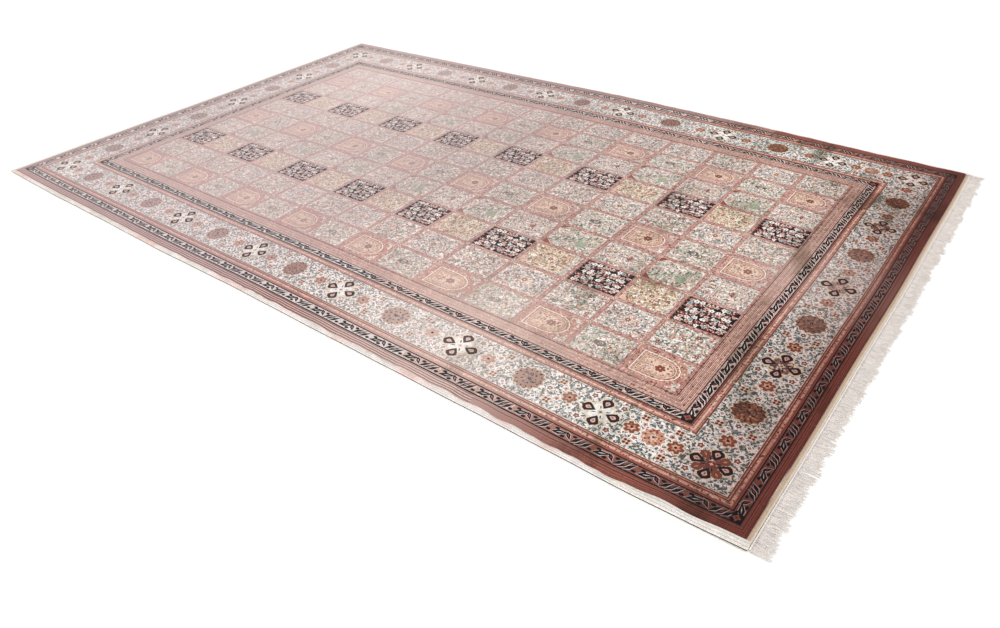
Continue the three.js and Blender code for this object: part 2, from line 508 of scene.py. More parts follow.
def white_arch():
    chart = Chart(17)
    ground(chart, "pale_ground")
    chart.scatter(
        ("slate", "pale_slate", "sage", "lilac"), (-71, 71, -54, 54), 17, 12.5, 5.4, clear=((18, 0, 34),),
    )
    for yarn, margin in (("slate", 0), ("cream", 1.6), ("rose", 5.4), ("pale_ground", 6.8)):
        chart.add(yarn, niche(-30 + margin * 0.7, 62 - margin, 42 - margin))
    chart.scatter(
        ("rose", "sage", "peach", "pale_slate"), (-20, 38, -26, 26), 10, 7, 3.2, clear=((14, 0, 13),),
    )
    chart.stem("moss", -18, 0, 10, 0, 2)
    for turn in (-1.0, -0.5, 0, 0.5, 1.0):
        chart.add("rust", leaf(15, 5), 14 + 8 * math.cos(turn), 11 * math.sin(turn), turn)
    chart.flower("brick", "cream", 12, 0, 7)
    for x, y in ((-56, 30), (-56, -30), (-48, 0)):
        chart.flower("rust", "cream", x, y, 7)
    # A joint on the stem
    chart.add("slate", leaf(4, 2), 0.1, 0, math.pi / 2 + 0.5)
    return chart


def diagonal_tree():
    chart = Chart(18)
    ground(chart, "green_ground")
    chart.scatter(("sage", "slate", "ivory", "sage", "pale_slate"), (-71, 71, -54, 54), 17, 12.5, 5.2)
    chart.add("rust", [(-CELL_X, -CELL_Y), (-CELL_X + 26, -CELL_Y), (-CELL_X, -CELL_Y + 24)])
    chart.add("rust", [(-CELL_X, CELL_Y), (-CELL_X, CELL_Y - 20), (-CELL_X + 22, CELL_Y)])
    chart.add("sage", petals(9, 20, 14), 26, -12)
    chart.wreath(("moss", "celadon", "white"), 12, 10, 8, 8, 3.6)
    chart.stem("sage", -58, -38, 50, 36, 4.5)
    for i in range(6):
        x = -46 + 18 * i
        y = x * 0.685 + 1.7
        chart.add("moss", leaf(17, 6.5), x + 2, y + 9, 1.6)
        chart.add("sage", leaf(17, 6.5), x + 9, y - 2, -0.2)
        chart.add("slate", leaf(9, 4), x, y + 1, 0.6)
    for x, y in ((-30, 34), (8, 42), (54, 8), (-14, -40), (50, -40), (-50, 6)):
        chart.flower("rose", "cream", x, y, 7)
    return chart


# Motifs of the borders


def four_petal(big, between_yarn="white"):
    """The dark flower of the main border. The big one at the near right corner has rust petals between."""
    chart = Chart()
    between = math.pi / 4
    chart.add("cream", lobes(4, 51, 30))
    chart.add("cream", petals(4, 47 if big else 37, 27, between))
    chart.add(between_yarn, petals(4, 32, 27, between))
    if big:
        for i in range(4):
            turn = between + TURN * i / 4
            chart.add("rust", spade(32, 25), 12 * math.cos(turn), 12 * math.sin(turn), turn)
            chart.add("orange", leaf(12, 5), 32 * math.cos(turn), 32 * math.sin(turn), turn)
    for i in range(4):
        turn = TURN * i / 4
        chart.add("maroon", spade(36, 31), 13 * math.cos(turn), 13 * math.sin(turn), turn)
        chart.add("blush", spade(17, 13), 23 * math.cos(turn), 23 * math.sin(turn), turn)
        chart.add("brick", leaf(9, 3.6), 32 * math.cos(turn), 32 * math.sin(turn), turn)
        chart.add("navy", leaf(15, 3.4), 17 * math.cos(turn + 0.5), 17 * math.sin(turn + 0.5), turn + 0.5)
    chart.add("cream", petals(4, 9, 5))
    chart.add("brick", oval(10 if big else 3.4, sides=8))
    if big:
        chart.add("peach", petals(4, 6, 2.6))
    return chart


def rosette():
    """The serrated brown rosette between two dark flowers."""
    chart = Chart()
    chart.add("cream", petals(14, 44, 38))
    chart.add("brown", petals(14, 41, 35))
    for count, reach, yarn in ((14, 31, "maroon"), (12, 25, "rust"), (9, 18, "maroon"), (7, 12, "mauve")):
        for i in range(count):
            angle = TURN * (i + 0.3) / count
            chart.add(yarn, leaf(7.5, 3.6), reach * math.cos(angle), reach * math.sin(angle), angle + 0.6)
    chart.add("maroon", oval(4.5, sides=6))
    chart.add("peach", oval(1.8, sides=4))
    return chart


def haloed(yarn, heart, reach, count):
    """A small flower with a cream outline."""
    chart = Chart()
    chart.add("white", petals(count, reach + 4.0, reach * 0.62 + 3.2))
    chart.add(yarn, petals(count, reach, reach * 0.62))
    chart.add(heart, oval(reach * 0.34, sides=4))
    return chart


def four_dots():
    chart = Chart()
    chart.add("cream", lobes(4, 12.5, 10.5))
    for x in (-4.3, 4.3):
        for y in (-4.3, 4.3):
            chart.add("brick", oval(4.3, sides=6), x, y)
            chart.add("maroon", oval(2.0, sides=4), x * 0.9, y * 0.9)
    return chart


# Stripes run in steps of this length, in millimetres, near the outline and further in, and the deeper dyes,
# painted shade towards the long fringe, start at this share of the long sides
STRIPE_STEP = 20
INNER_STEP = 62
DEEP_FROM = 0.78

# The narrow borders: where they start and end, the pitch of a pair of leaves, how far along the rug each
# ground goes and its dye, and the yarn of the pale edges. Each ground steps through dyes along the rug,
# palest at the left: painted sheen and shade that follow how the light falls on the silk along its length
MINOR_BORDERS = (
    (
        GUARD_OUT, MINOR_OUT, 107.0, ((600, "ivory"), (900, "stripe"), (1150, "clay"), (2000, "guard")),
        "ivory",
    ),
    (
        GUARD_IN, MINOR_IN, 100.0, ((300, "ivory"), (700, "blush"), (1130, "stripe"), (2000, "rose")),
        "white",
    ),
)

# Their edge line, and the half height that their figures are drawn at
EDGE_LINE = 1.4
FIGURE_HALF = 9.9

# Where the motifs of one gap stand: along from the dark flower, across from the
# flower line, the room that the filling leaves keep clear, and the motif
GAP_MOTIFS = (
    (39, 41, 13, "star"), (39, -41, 13, "star"), (84, 0, 20, "diamond"), (107, 20, 13, "mauve"),
    (107, -20, 13, "mauve"), (125, 38, 15, "dots"), (125, -38, 15, "dots"), (140, 0, 15, "brown"),
    (66, 30, 9, "bud"), (66, -30, 9, "bud"), (90, 46, 9, "bud"), (90, -46, 9, "bud"), (158, 46, 9, "bud"),
    (158, -46, 9, "bud"),
)
SHORT_MOTIFS = (
    (39, 41, 13, "star"), (39, -41, 13, "star"), (80, 0, 20, "diamond"), (100, 25, 13, "mauve"),
    (100, -25, 13, "mauve"), (92, 45, 15, "dots"), (92, -45, 15, "dots"), (66, 30, 9, "bud"),
    (66, -30, 9, "bud"),
)


def border_motifs():
    star = haloed("rust", "peach", 9.5, 5)
    brown = haloed("brown", "cream", 9, 6)
    mauve = haloed("rose", "brick", 8.5, 5)
    bud = haloed("rust", "gold", 5, 4)
    diamond = Chart()
    diamond.add("cream", lobes(6, 23, 18))
    diamond.add("rust", lobes(6, 19.5, 13))
    diamond.add("orange", petals(6, 12, 7))
    diamond.add("maroon", oval(4, sides=5))
    middle = Chart()
    middle.add("white", petals(12, 33, 28))
    middle.add("orange", petals(12, 30, 24))
    for i in range(8):
        angle = TURN * i / 8
        middle.add("rust", oval(3.4, sides=5), 18.5 * math.cos(angle), 18.5 * math.sin(angle))
    middle.add("peach", petals(8, 12, 7.5))
    middle.add("maroon", oval(3.4, sides=5))
    return {
        "star": star, "brown": brown, "mauve": mauve, "bud": bud, "diamond": diamond, "dots": four_dots(),
        "middle": middle, "rosette": rosette(), "flower": four_petal(False),
        "deep": four_petal(False, "mauve"), "corner": four_petal(True, "mauve"),
    }


def sides_of(reach_x, reach_y):
    """The four sides: length, and the map from along and inwards to the plan."""
    return (
        ("near", 2 * reach_x, lambda s, d: (s - reach_x, d - reach_y)),
        ("far", 2 * reach_x, lambda s, d: (s - reach_x, reach_y - d)),
        ("right", 2 * reach_y, lambda s, d: (reach_x - d, s - reach_y)),
        ("left", 2 * reach_y, lambda s, d: (d - reach_x, s - reach_y)),
    )


SIDES = sides_of(HALF_LENGTH, HALF_WIDTH)


def ring(chart, yarn, outer, inner, deep=None):
    """A plain stripe right round the rug, mitred at the corners, in steps that can follow the outline. It
    may take a deeper dye at the long fringe and along the last part of the long sides: painted shade."""
    for name, length, place in SIDES:
        steps = round(length / (STRIPE_STEP if outer < GUARD_OUT else INNER_STEP))
        shares = [i / steps for i in range(steps + 1)]
        outside = [place(outer + (length - 2 * outer) * share, outer) for share in shares]
        inside = [place(inner + (length - 2 * inner) * share, inner) for share in shares]
        turn = steps
        if deep and name != "left":
            turn = 0 if name == "right" else round(steps * DEEP_FROM)
        for dyed, first, last in ((yarn, 0, turn), (deep, turn, steps)):
            if last > first:
                chart.add(dyed, outside[first:last + 1] + inside[first:last + 1][::-1])


def guards(chart):
    """The plain and striped guards between the borders."""
    # A stripe's fourth entry is its deeper dye towards the long fringe: painted shade
    stripes = (
        ("guard", 0, GUARD_OUT), ("maroon", 1.6, 2.6, "brick"), ("blush", 3.4, 5.2, "clay"),
        ("maroon", 6.4, 7.4, "brick"), ("blush", 8.4, 10.2, "clay"), ("maroon", 11.4, 12.4),
        ("blush", 13.4, 15.2, "clay"), ("maroon", 16.2, 17.0, "brick"), ("navy", 18.6, GUARD_OUT),
        ("clay", MINOR_OUT, GUARD_MID), ("navy", MINOR_OUT, 46.2), ("brick", 48.6, 49.8),
        ("terracotta", 51.8, 59.4), ("peach", 54.4, 56.4), ("maroon", 60.6, 61.8),
        ("terracotta", 63.0, 64.8),
        ("maroon", 66.2, 67.2), ("cream", 68.3, GUARD_MID),
        ("clay", MAIN_IN, GUARD_IN), ("cream", MAIN_IN, 195.2), ("maroon", 196.4, 197.6),
        ("terracotta", 200, 213.6),
        ("brick", 201.8, 202.8), ("peach", 204.6, 208.6), ("brick", 210.4, 211.4), ("maroon", 215.2, 216.4),
        ("navy", 218.2, GUARD_IN),
        ("stripe", MINOR_IN, FIELD_IN), ("maroon", MINOR_IN, 248.6), ("maroon", 285.4, FIELD_IN),
    )
    for yarn, outer, inner, *deep in stripes:
        ring(chart, yarn, outer, inner, *deep)
    # The fine stripes next to the field: a pale one and a dark thread, nine times
    for number in range(9):
        at = MINOR_IN + 3.0 + 3.9 * number
        ring(chart, ("blush", "cream", "rose")[number % 3], at, at + 1.5)
        ring(chart, "brick", at + 2.3, at + 3.1)


def bent_leaf(line, heart):
    """A long dark leaf of a minor border with a pale rib, and a short one bent back from its tip."""
    chart = Chart()
    chart.add(line, leaf(43, 15), -5, 0, 0.34)
    chart.add(line, leaf(26, 12), 15, 0.5, -0.8)
    chart.add("navy", leaf(40, 12.4), -5, 0, 0.34)
    chart.add("navy", leaf(23, 9.4), 15, 0.5, -0.8)
    chart.add(line, leaf(17, 2.2), -5, 0, 0.34)
    chart.add(heart, leaf(9, 3), 14.5, 0.8, -0.8)
    for x, y in ((-15, 5.4), (4, -6)):
        chart.add("navy", oval(5.4, 3.2, 8), x, y)
    return chart


def slanting_leaves(line, heart):
    """The figure between two bent leaves: three dark slanting leaves side by side."""
    chart = Chart()
    for at in (-13, -2, 9):
        chart.add(line, leaf(30, 10.4), at, 0, 0.8)
        chart.add("navy", leaf(28, 8.4), at - 0.6, 0, 0.8)
    chart.add(heart, leaf(11, 3), -2.6, 0, 0.8)
    for x, y in ((-21, 4.6), (18, -4.6)):
        chart.add("navy", oval(5.4, 3.2, 8), x, y)
    return chart


def minor_border(chart, outer, inner, pitch, grounds, line):
    """A narrow border with dark edges: bent leaves and slanting leaves in turn."""
    ring(chart, "navy", outer, inner)
    middle = (outer + inner) / 2
    half = (inner - outer) / 2 - EDGE_LINE
    size = half / FIGURE_HALF
    figures = (bent_leaf(line, "brick"), slanting_leaves(line, "rust"))
    for _, length, place in SIDES:
        run = length - 2 * middle
        count = 2 * round(run / pitch)
        step = run / count
        for i in range(count):
            along = middle + (i + 0.5) * step
            # The ground's dye is chosen by the place along the rug: painted sheen and shade
            reach = place(along, middle)[0]
            dyed = next(yarn for limit, yarn in grounds if reach < limit)
            cell = box(along - step / 2, along + step / 2, middle - half, middle + half)
            chart.add(dyed, [place(*corner) for corner in cell])
            chart.stamp(figures[i % 2], lambda px, py: place(along + px * size, middle + py * size))
    for x in (-1, 1):
        for y in (-1, 1):
            at = (x * (HALF_LENGTH - middle), y * (HALF_WIDTH - middle))
            chart.add("navy", box(-half, half, -half, half), *at)
            chart.add("clay", petals(4, half * 0.9, half * 0.5), *at)
            chart.add("brick", oval(half * 0.4, sides=6), *at)


def main_border(chart):
    """The wide pale border: dark four-petalled flowers, rosettes and florets among dense small leaves."""
    ring(chart, "border_ground", GUARD_MID, MAIN_IN)
    motifs = border_motifs()
    placed = []
    for name, length, place in SIDES:
        last = length - FLOWER_LINE
        if name in ("near", "far"):
            flowers = [FLOWER_LINE + LONG_GAP * i for i in range(7)] + [last]
        else:
            flowers = [FLOWER_LINE + (last - FLOWER_LINE) * i / 4 for i in range(5)]
        for start, end in zip(flowers, flowers[1:]):
            short = end - start < 300
            gap = end - start
            row = list(SHORT_MOTIFS if short else GAP_MOTIFS)
            row += [(gap - along, across, room, kind) for along, across, room, kind in row]
            row.append((gap / 2, 0, 38 if short else 43, "middle" if short else "rosette"))
            placed += [(place(start + a, FLOWER_LINE + c), room, kind, place) for a, c, room, kind in row]
        for along in flowers[1:-1]:
            placed.append((place(along, FLOWER_LINE), 48, "deep" if name == "right" else "flower", place))
        if name in ("near", "far"):
            placed.append((place(FLOWER_LINE, FLOWER_LINE), 48, "flower", place))
            kind = "corner" if name == "near" else "flower"
            placed.append((place(last, FLOWER_LINE), 48, kind, place))
    fill_leaves(chart, placed)
    for (x, y), _, kind, place in placed:
        origin = place(0, 0)
        chart.stamp(
            motifs[kind],
            lambda px, py: tuple(c - o + at for c, o, at in zip(place(px, py), origin, (x, y))),
        )


def fill_leaves(chart, placed):
    """Small leaves all over the main border, a curl of four at a time, clear of the flowers."""
    pitch = 20.5
    buckets = {}
    for (x, y), room, _, _ in placed:
        for i in range(-1, 2):
            for j in range(-1, 2):
                key = (round(x / 60) + i, round(y / 60) + j)
                buckets.setdefault(key, []).append((x, y, room))
    yarns = ("slate", "moss", "white", "slate", "white", "pale_slate", "slate", "olive")
    for name, length, place in SIDES:
        start = GUARD_MID + 5 if name in ("near", "far") else MAIN_IN
        for i in range(round((length - 2 * start) / pitch)):
            for j in range(round((MAIN_IN - GUARD_MID - 8) / pitch)):
                along = start + pitch * (i + 0.5 + (0.5 if j % 2 else 0)) + chart.chance.uniform(-2.5, 2.5)
                across = GUARD_MID + 5 + pitch * (j + 0.5) + chart.chance.uniform(-2.5, 2.5)
                turn = chart.chance.uniform(0, TURN)
                if along > length - start:
                    continue
                x, y = place(along, across)
                near = buckets.get((round(x / 60), round(y / 60)), ())
                for k in range(4):
                    angle = turn + k * 1.5
                    leaf_x = x + 6.4 * math.cos(angle)
                    leaf_y = y + 6.4 * math.sin(angle)
                    yarn = chart.chance.choice(yarns)
                    if any(math.hypot(leaf_x - cx, leaf_y - cy) < room for cx, cy, room in near):
                        continue
                    chart.add(yarn, leaf(13, 5.4), leaf_x, leaf_y, angle + 0.9)


# The field


def compartments():
    """The plan of the field: for each row from the near side, the charts of the odd and the even columns."""
    orange = orange_arch(False)
    pink = orange_arch(True)
    vase = green_vase()
    foliage = ivory_foliage()
    wreath = lilac_wreath()
    florets = dark_florets()
    gold = gold_arch()
    white = white_arch()
    tree = diagonal_tree()
    return (
        (orange, vase), (foliage, wreath), (florets, gold), (white, tree), (pink, vase),
        (foliage, wreath), (florets, gold), (white, tree), (pink, vase), (foliage, wreath),
    )


def field(chart):
    reach_x = HALF_LENGTH - FIELD_IN
    reach_y = HALF_WIDTH - FIELD_IN
    chart.add("lattice", box(-reach_x, reach_x, -reach_y, reach_y))
    for i in range(COLUMNS + 1):
        x = -reach_x + i * CELL_LONG
        for offset in (-3, 3):
            if abs(x + offset) < reach_x:
                chart.add("rust", box(x + offset - 0.6, x + offset + 0.6, -reach_y, reach_y))
    for j in range(ROWS + 1):
        y = -reach_y + j * CELL_WIDE
        for offset in (-3, 3):
            if abs(y + offset) < reach_y:
                chart.add("rust", box(-reach_x, reach_x, y + offset - 0.6, y + offset + 0.6))
    for i in range(1, COLUMNS):
        for j in range(1, ROWS):
            at = (-reach_x + i * CELL_LONG, -reach_y + j * CELL_WIDE)
            chart.add("cream", petals(4, 7, 4), *at)
            chart.add("brick", oval(3, sides=4), *at)
    plan = compartments()
    for i in range(COLUMNS):
        for j in range(ROWS):
            centre_x = -reach_x + (i + 0.5) * CELL_LONG
            centre_y = -reach_y + (j + 0.5) * CELL_WIDE
            chart.stamp(plan[j][i % 2], lambda px, py: (px + centre_x, py + centre_y))


def grounds(chart):
    """The large grounds alone, as they show through on the back."""
    for yarn, outer, inner in (
        ("guard", 0, GUARD_OUT), ("navy", GUARD_OUT, MINOR_OUT), ("guard", MINOR_OUT, GUARD_MID),
        ("ivory", GUARD_MID, MAIN_IN), ("guard", MAIN_IN, GUARD_IN), ("navy", GUARD_IN, MINOR_IN),
        ("rose", MINOR_IN, FIELD_IN),
    ):
        ring(chart, yarn, outer, inner)
    reach_x = HALF_LENGTH - FIELD_IN
    reach_y = HALF_WIDTH - FIELD_IN
    chart.add("lattice", box(-reach_x, reach_x, -reach_y, reach_y))
    plan = compartments()
    for i in range(COLUMNS):
        for j in range(ROWS):
            at = (-reach_x + (i + 0.5) * CELL_LONG, -reach_y + (j + 0.5) * CELL_WIDE)
            chart.add(plan[j][i % 2].patches[1][0], box(-CELL_X, CELL_X, -CELL_Y, CELL_Y), *at)


# Grounds that the material fills with leaves too small to chart: a quarter for
# the reddish ones, half for the main border's, three quarters for the brown
# rosettes and one for the pale compartments'
FILLED = {
    "border_ground": 0.5, "pale_ground": 1.0, "green_ground": 1.0, "gold": 1.0,
    "terracotta": 0.25, "orange": 0.25, "rose": 0.25, "lattice": 0.25, "stripe": 0.25, "mauve": 0.25,
    "peach": 0.25, "brown": 0.75,
}


# Meshes


def partition(chart):
    """Cuts a chart into triangles that each take the dye of the topmost patch over them."""
    points = []
    faces = []
    for _, outline in chart.patches:
        area = sum(a[0] * b[1] - b[0] * a[1] for a, b in zip(outline, outline[1:] + outline[:1]))
        start = len(points)
        points.extend(Vector(point) for point in (outline if area > 0 else outline[::-1]))
        faces.append(list(range(start, len(points))))
    # Loose points let the large patches follow the ripples
    for x in np.arange(-HALF_LENGTH + 17.3, HALF_LENGTH, 36.1):
        for y in np.arange(-HALF_WIDTH + 13.7, HALF_WIDTH, 35.3):
            points.append(Vector((x, y)))
    verts, _, triangles, _, _, owners = delaunay_2d_cdt(points, [], faces, 1, 1e-3)
    top = [max(owner) for owner in owners]
    yarns = [chart.patches[number][0] for number in top]
    return np.array([tuple(v) for v in verts]), np.array(triangles), yarns


def cloth(name, points, faces, colours, material, node=None):
    """A mesh piece from frame metres, faces and one colour a face, or none."""
    mesh = bpy.data.meshes.new(name)
    mesh.from_pydata([tuple(p) for p in points], [], [tuple(int(i) for i in f) for f in faces])
    mesh.validate()
    if colours is not None:
        layer = mesh.color_attributes.new("dye", "FLOAT_COLOR", "CORNER")
        corners = np.repeat(np.asarray(colours, float), [len(f) for f in faces], axis=0)
        layer.data.foreach_set("color", corners.ravel())
    mesh.polygons.foreach_set("use_smooth", [True] * len(mesh.polygons))
    mesh.update()
    piece = bpy.data.objects.new(name, mesh)
    bpy.context.scene.collection.objects.link(piece)
    piece.data.materials.append(material)
    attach(piece, "root")
    if node:
        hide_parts(node)
    return piece


def keep_used(points, faces):
    """The points that these faces use, and the faces renumbered."""
    used, renumbered = np.unique(faces, return_inverse=True)
    return points[used], renumbered.reshape(faces.shape)


def sweep(rings):
    """Faces of a closed tube through rings of the same number of points, with flat ends."""
    count = len(rings)
    size = len(rings[0])
    a = np.arange(count - 1)[:, None] * size + np.arange(size)[None, :]
    b = np.arange(count - 1)[:, None] * size + (np.arange(size)[None, :] + 1) % size
    sides = np.stack([a, b, b + size, a + size], 2).reshape(-1, 4)
    faces = [tuple(face) for face in sides]
    faces.append(tuple(range(size))[::-1])
    faces.append(tuple(range((count - 1) * size, count * size)))
    return faces


# Materials


def node(material, kind, links=(), **settings):
    """Adds a shader node, sets its inputs and attributes, and links other nodes' outputs to it."""
    made = material.node_tree.nodes.new(kind)
    for key, value in settings.items():
        if key.startswith("in_"):
            name = key[3:]
            made.inputs[int(name) if name.isdigit() else name.replace("_", " ")].default_value = value
        else:
            setattr(made, key, value)
    for socket, source in links:
        material.node_tree.links.new(source, made.inputs[socket])
    return made


def blank(name):
    """A new material with an empty tree, its shader and its output, and places in the frame."""
    material = bpy.data.materials.new(name)
    material.use_nodes = True
    material.node_tree.nodes.clear()
    shader = node(material, "ShaderNodeBsdfPrincipled")
    node(material, "ShaderNodeOutputMaterial", [("Surface", shader.outputs[0])])
    return material, shader, node(material, "ShaderNodeTexCoord").outputs["Object"]


def join(material, source, shader, socket):
    material.node_tree.links.new(source, shader.inputs[socket])


def dress(material, shader, colour, relief, strength, distance, **sockets):
    """Joins a colour and a relief to the shader, and sets its other sockets."""
    bump = node(
        material, "ShaderNodeBump", [("Height", relief)], in_Strength=strength, in_Distance=distance,
    )
    join(material, colour, shader, "Base Color")
    join(material, bump.outputs[0], shader, "Normal")
    for name, value in sockets.items():
        shader.inputs[name.replace("_", " ")].default_value = value


def tinted(material, factor, low, high, colour, amount):
    """Multiplies a colour by a grey from low to high, picked by a noise between its usual ends."""
    grey = node(
        material, "ShaderNodeMapRange", [("Value", factor)], in_From_Min=0.3, in_From_Max=0.7,
        in_To_Min=low,
        in_To_Max=high,
    )
    return node(
        material, "ShaderNodeMix", [(6, colour), (7, grey.outputs[0])], data_type="RGBA",
        blend_type="MULTIPLY",
        in_0=amount,
    ).outputs[2]


def set_stops(ramp, rows):
    """Sets a ramp's stops: where each stands, and its linear colour."""
    stops = ramp.color_ramp.elements
    while len(stops) < len(rows):
        stops.new(0.5)
    for number, (at, colour) in enumerate(rows):
        stops[number].position = at
        stops[number].color = (*colour, 1.0)


def fill(material, place, attribute):
    """Leaves and florets of one or two knots, over the grounds that the dye's alpha marks."""
    # They curl with a slow warp of 40 mm
    warp = node(material, "ShaderNodeTexNoise", [("Vector", place)], in_Scale=28.0, in_Detail=2.0)
    curled = node(
        material, "ShaderNodeVectorMath", [(0, warp.outputs["Color"]), (2, place)],
        operation="MULTIPLY_ADD",
        in_1=(0.03, 0.03, 0.0),
    )
    colour = attribute.outputs["Color"]
    for share, spread, hexes, size in FILLERS:
        # Leaves stand on a lattice as wide as their size, in millimetres
        cells = node(
            material, "ShaderNodeTexVoronoi", [("Vector", curled.outputs[0])], voronoi_dimensions="2D",
            distance="MINKOWSKI", in_Scale=1000.0 / size, in_Exponent=0.8, in_Randomness=0.9,
        )
        marked = node(
            material, "ShaderNodeMath", [(0, attribute.outputs["Alpha"])], operation="COMPARE", in_1=share,
            in_2=0.1,
        )
        mask = node(
            material, "ShaderNodeMapRange", [("Value", cells.outputs["Distance"])],
            in_From_Min=spread + 0.06,
            in_From_Max=spread, interpolation_type="SMOOTHSTEP",
        )
        both = node(
            material, "ShaderNodeMath", [(0, marked.outputs[0]), (1, mask.outputs[0])],
            operation="MULTIPLY",
        )
        pick = node(material, "ShaderNodeSeparateColor", [("Color", cells.outputs["Color"])]).outputs[0]
        picked = node(material, "ShaderNodeValToRGB", [("Fac", pick)])
        picked.color_ramp.interpolation = "CONSTANT"
        set_stops(picked, [(number / len(hexes), linear(hexes[number])) for number in range(len(hexes))])
        colour = node(
            material, "ShaderNodeMix", [(0, both.outputs[0]), (6, colour), (7, picked.outputs[0])],
            data_type="RGBA",
        ).outputs[2]
    return colour


# For each filling: the mark of its ground, how much of the ground it covers, its
# colours, and its size in millimetres
FILLERS = (
    (0.25, 0.46, ("#cfac9a", "#6a3626", "#bd8e78", "#7d4634", "#dcc2b2", "#8a8470"), 7.5),
    (0.5, 0.55, ("#44514f", "#707d78", "#4c5852", "#7c8070", "#efe9e2", "#5a6258", "#3e4a4c"), 8.5),
    (0.5, 0.38, ("#f6f1ea", "#333f40", "#84503c", "#f2ede6", "#4d5850"), 6.0),
    (0.75, 0.56, ("#9a6244", "#3c1e14", "#b07a58", "#542e20", "#7a4832"), 7.5),
    (
        1.0, 0.54, ("#80856f", "#c08d80", "#efe6de", "#5e685c", "#a5685a", "#a0a69a", "#cfb0a6", "#e6dbd2"),
        10.0,
    ),
    (1.0, 0.42, ("#f4ece6", "#7c4838", "#4c5648", "#d8aea2", "#f2ebe5", "#68787e", "#c8a87c"), 6.0),
)


def silk_pile():
    """Hand-knotted, close-clipped silk pile. Silk gives it a gloss at low angles, the rows of knots a fine
    grain, and the changes of dye lot faint bands across the rug. Painted sheen pales it towards the left,
    painted highlights and shade lie in soft patches, and painted shade darkens smudges and the end at the
    long fringe."""
    material, shader, place = blank("silk_pile_hand_knotted")
    colour = fill(material, place, node(material, "ShaderNodeAttribute", attribute_name="dye"))
    # Dye lots change every 60 to 200 mm along the rug, and run straight across it
    bands = node(material, "ShaderNodeMapping", [("Vector", place)], in_Scale=(9.0, 0.5, 0.0))
    lots = node(material, "ShaderNodeTexNoise", [("Vector", bands.outputs[0])], in_Scale=1.0, in_Detail=3.0)
    colour = tinted(material, lots.outputs[0], 0.91, 1.15, colour, 1.0)
    # Knots are 1.2 mm apart, too fine to show, so the mottle is drawn at 4 mm
    knots = node(
        material, "ShaderNodeTexNoise", [("Vector", place)], in_Scale=250.0, in_Detail=3.0,
        in_Roughness=0.7,
    )
    colour = tinted(material, knots.outputs[0], 0.66, 1.34, colour, 1.0)
    # Painted sheen: a pale rosy veil, strongest over the left half and fading out towards the long fringe
    # and its corners, stands in for the silk's gloss under a low light from the left.
    cloudy = node(
        material, "ShaderNodeTexNoise", [("Vector", place)], in_Scale=2.2, in_Detail=4.0, in_Roughness=0.6,
    )
    round_middle = node(
        material, "ShaderNodeMapping", [("Vector", place)], in_Location=(0.5, 0.0, 0.0),
        in_Scale=(0.571, 0.4, 0.0),
    )
    away = node(
        material, "ShaderNodeVectorMath", [(0, round_middle.outputs[0])], operation="LENGTH",
    ).outputs["Value"]
    sheen_mask = node(
        material, "ShaderNodeMath", [(0, cloudy.outputs[0]), (2, away)], operation="MULTIPLY_ADD", in_1=0.5,
    )
    # How much of the painted sheen, highlights and shade each dye takes, by its brightness: dark dyes almost
    # none, mid tones the most, pale ones about half
    bright = node(material, "ShaderNodeSeparateColor", [("Color", colour)]).outputs[0]
    shine = node(material, "ShaderNodeValToRGB", [("Fac", bright)])
    shares = ((0.01, 0.04), (0.07, 0.8), (0.15, 1.0), (0.45, 0.53))
    set_stops(shine, [(at, (share, share, share)) for at, share in shares])
    shine = shine.outputs[0]
    sheen_veil = node(
        material, "ShaderNodeMapRange", [("Value", sheen_mask.outputs[0])], in_From_Min=1.32, in_From_Max=0.5,
        in_To_Min=0.03, in_To_Max=0.66, interpolation_type="SMOOTHSTEP",
    )
    sheen_veil = node(material, "ShaderNodeMath", [(0, sheen_veil.outputs[0]), (1, shine)], operation="MULTIPLY")
    colour = node(
        material, "ShaderNodeMix", [(0, sheen_veil.outputs[0]), (6, colour)], data_type="RGBA",
        in_7=(*linear("#c6afb1"), 1.0),
    ).outputs[2]
    # Painted highlights in soft round patches near the edges, and painted shade in the middle and near the
    # left end: where, how far, how much, and the colour
    for x, y, reach, most, painted_tint in (
        (0.62, -0.8, 0.55, 0.56, "#f0dcd4"), (1.3, 0.0, 0.34, 0.34, "#f0dcd4"),
        (-0.95, 0.75, 1.0, 0.2, "#f0dcd4"),
        (-0.1, 0.1, 1.0, 0.29, "#6a605c"), (-1.3, -0.3, 0.9, 0.2, "#6a605c"),
    ):
        spot = node(
            material, "ShaderNodeVectorMath", [(0, place)], operation="DISTANCE", in_1=(x, y, 0.0),
        ).outputs["Value"]
        painted_patch = node(
            material, "ShaderNodeMapRange", [("Value", spot)], in_From_Min=reach, in_From_Max=0.0,
            in_To_Max=most,
            interpolation_type="SMOOTHSTEP",
        )
        painted_patch = node(
            material, "ShaderNodeMath", [(0, painted_patch.outputs[0]), (1, shine)], operation="MULTIPLY",
        )
        colour = node(
            material, "ShaderNodeMix", [(0, painted_patch.outputs[0]), (6, colour)], data_type="RGBA",
            in_7=(*linear(painted_tint), 1.0),
        ).outputs[2]
    # Painted shade in smudges a hand across, where pile-lay marks and faint creases catch less light,
    # thickest near the long fringe
    smudge_place = node(material, "ShaderNodeMapping", [("Vector", place)], in_Scale=(7.0, 3.0, 0.0))
    marks = node(
        material, "ShaderNodeTexNoise", [("Vector", smudge_place.outputs[0])], in_Scale=1.0, in_Detail=5.0,
        in_Roughness=0.62,
    )
    marks = node(
        material, "ShaderNodeMapRange", [("Value", marks.outputs[0])], in_From_Min=0.52, in_From_Max=0.68,
        interpolation_type="SMOOTHSTEP",
    )
    along = node(material, "ShaderNodeSeparateXYZ", [("Vector", place)]).outputs[0]
    right = node(material, "ShaderNodeMapRange", [("Value", along)], in_From_Min=0.2, in_From_Max=1.0)
    marks = node(
        material, "ShaderNodeMath", [(0, marks.outputs[0]), (1, right.outputs[0])], operation="MULTIPLY",
    )
    colour = node(
        material, "ShaderNodeMix", [(0, marks.outputs[0]), (6, colour)], data_type="RGBA",
        blend_type="MULTIPLY",
        in_7=(0.48, 0.46, 0.39, 1.0),
    ).outputs[2]
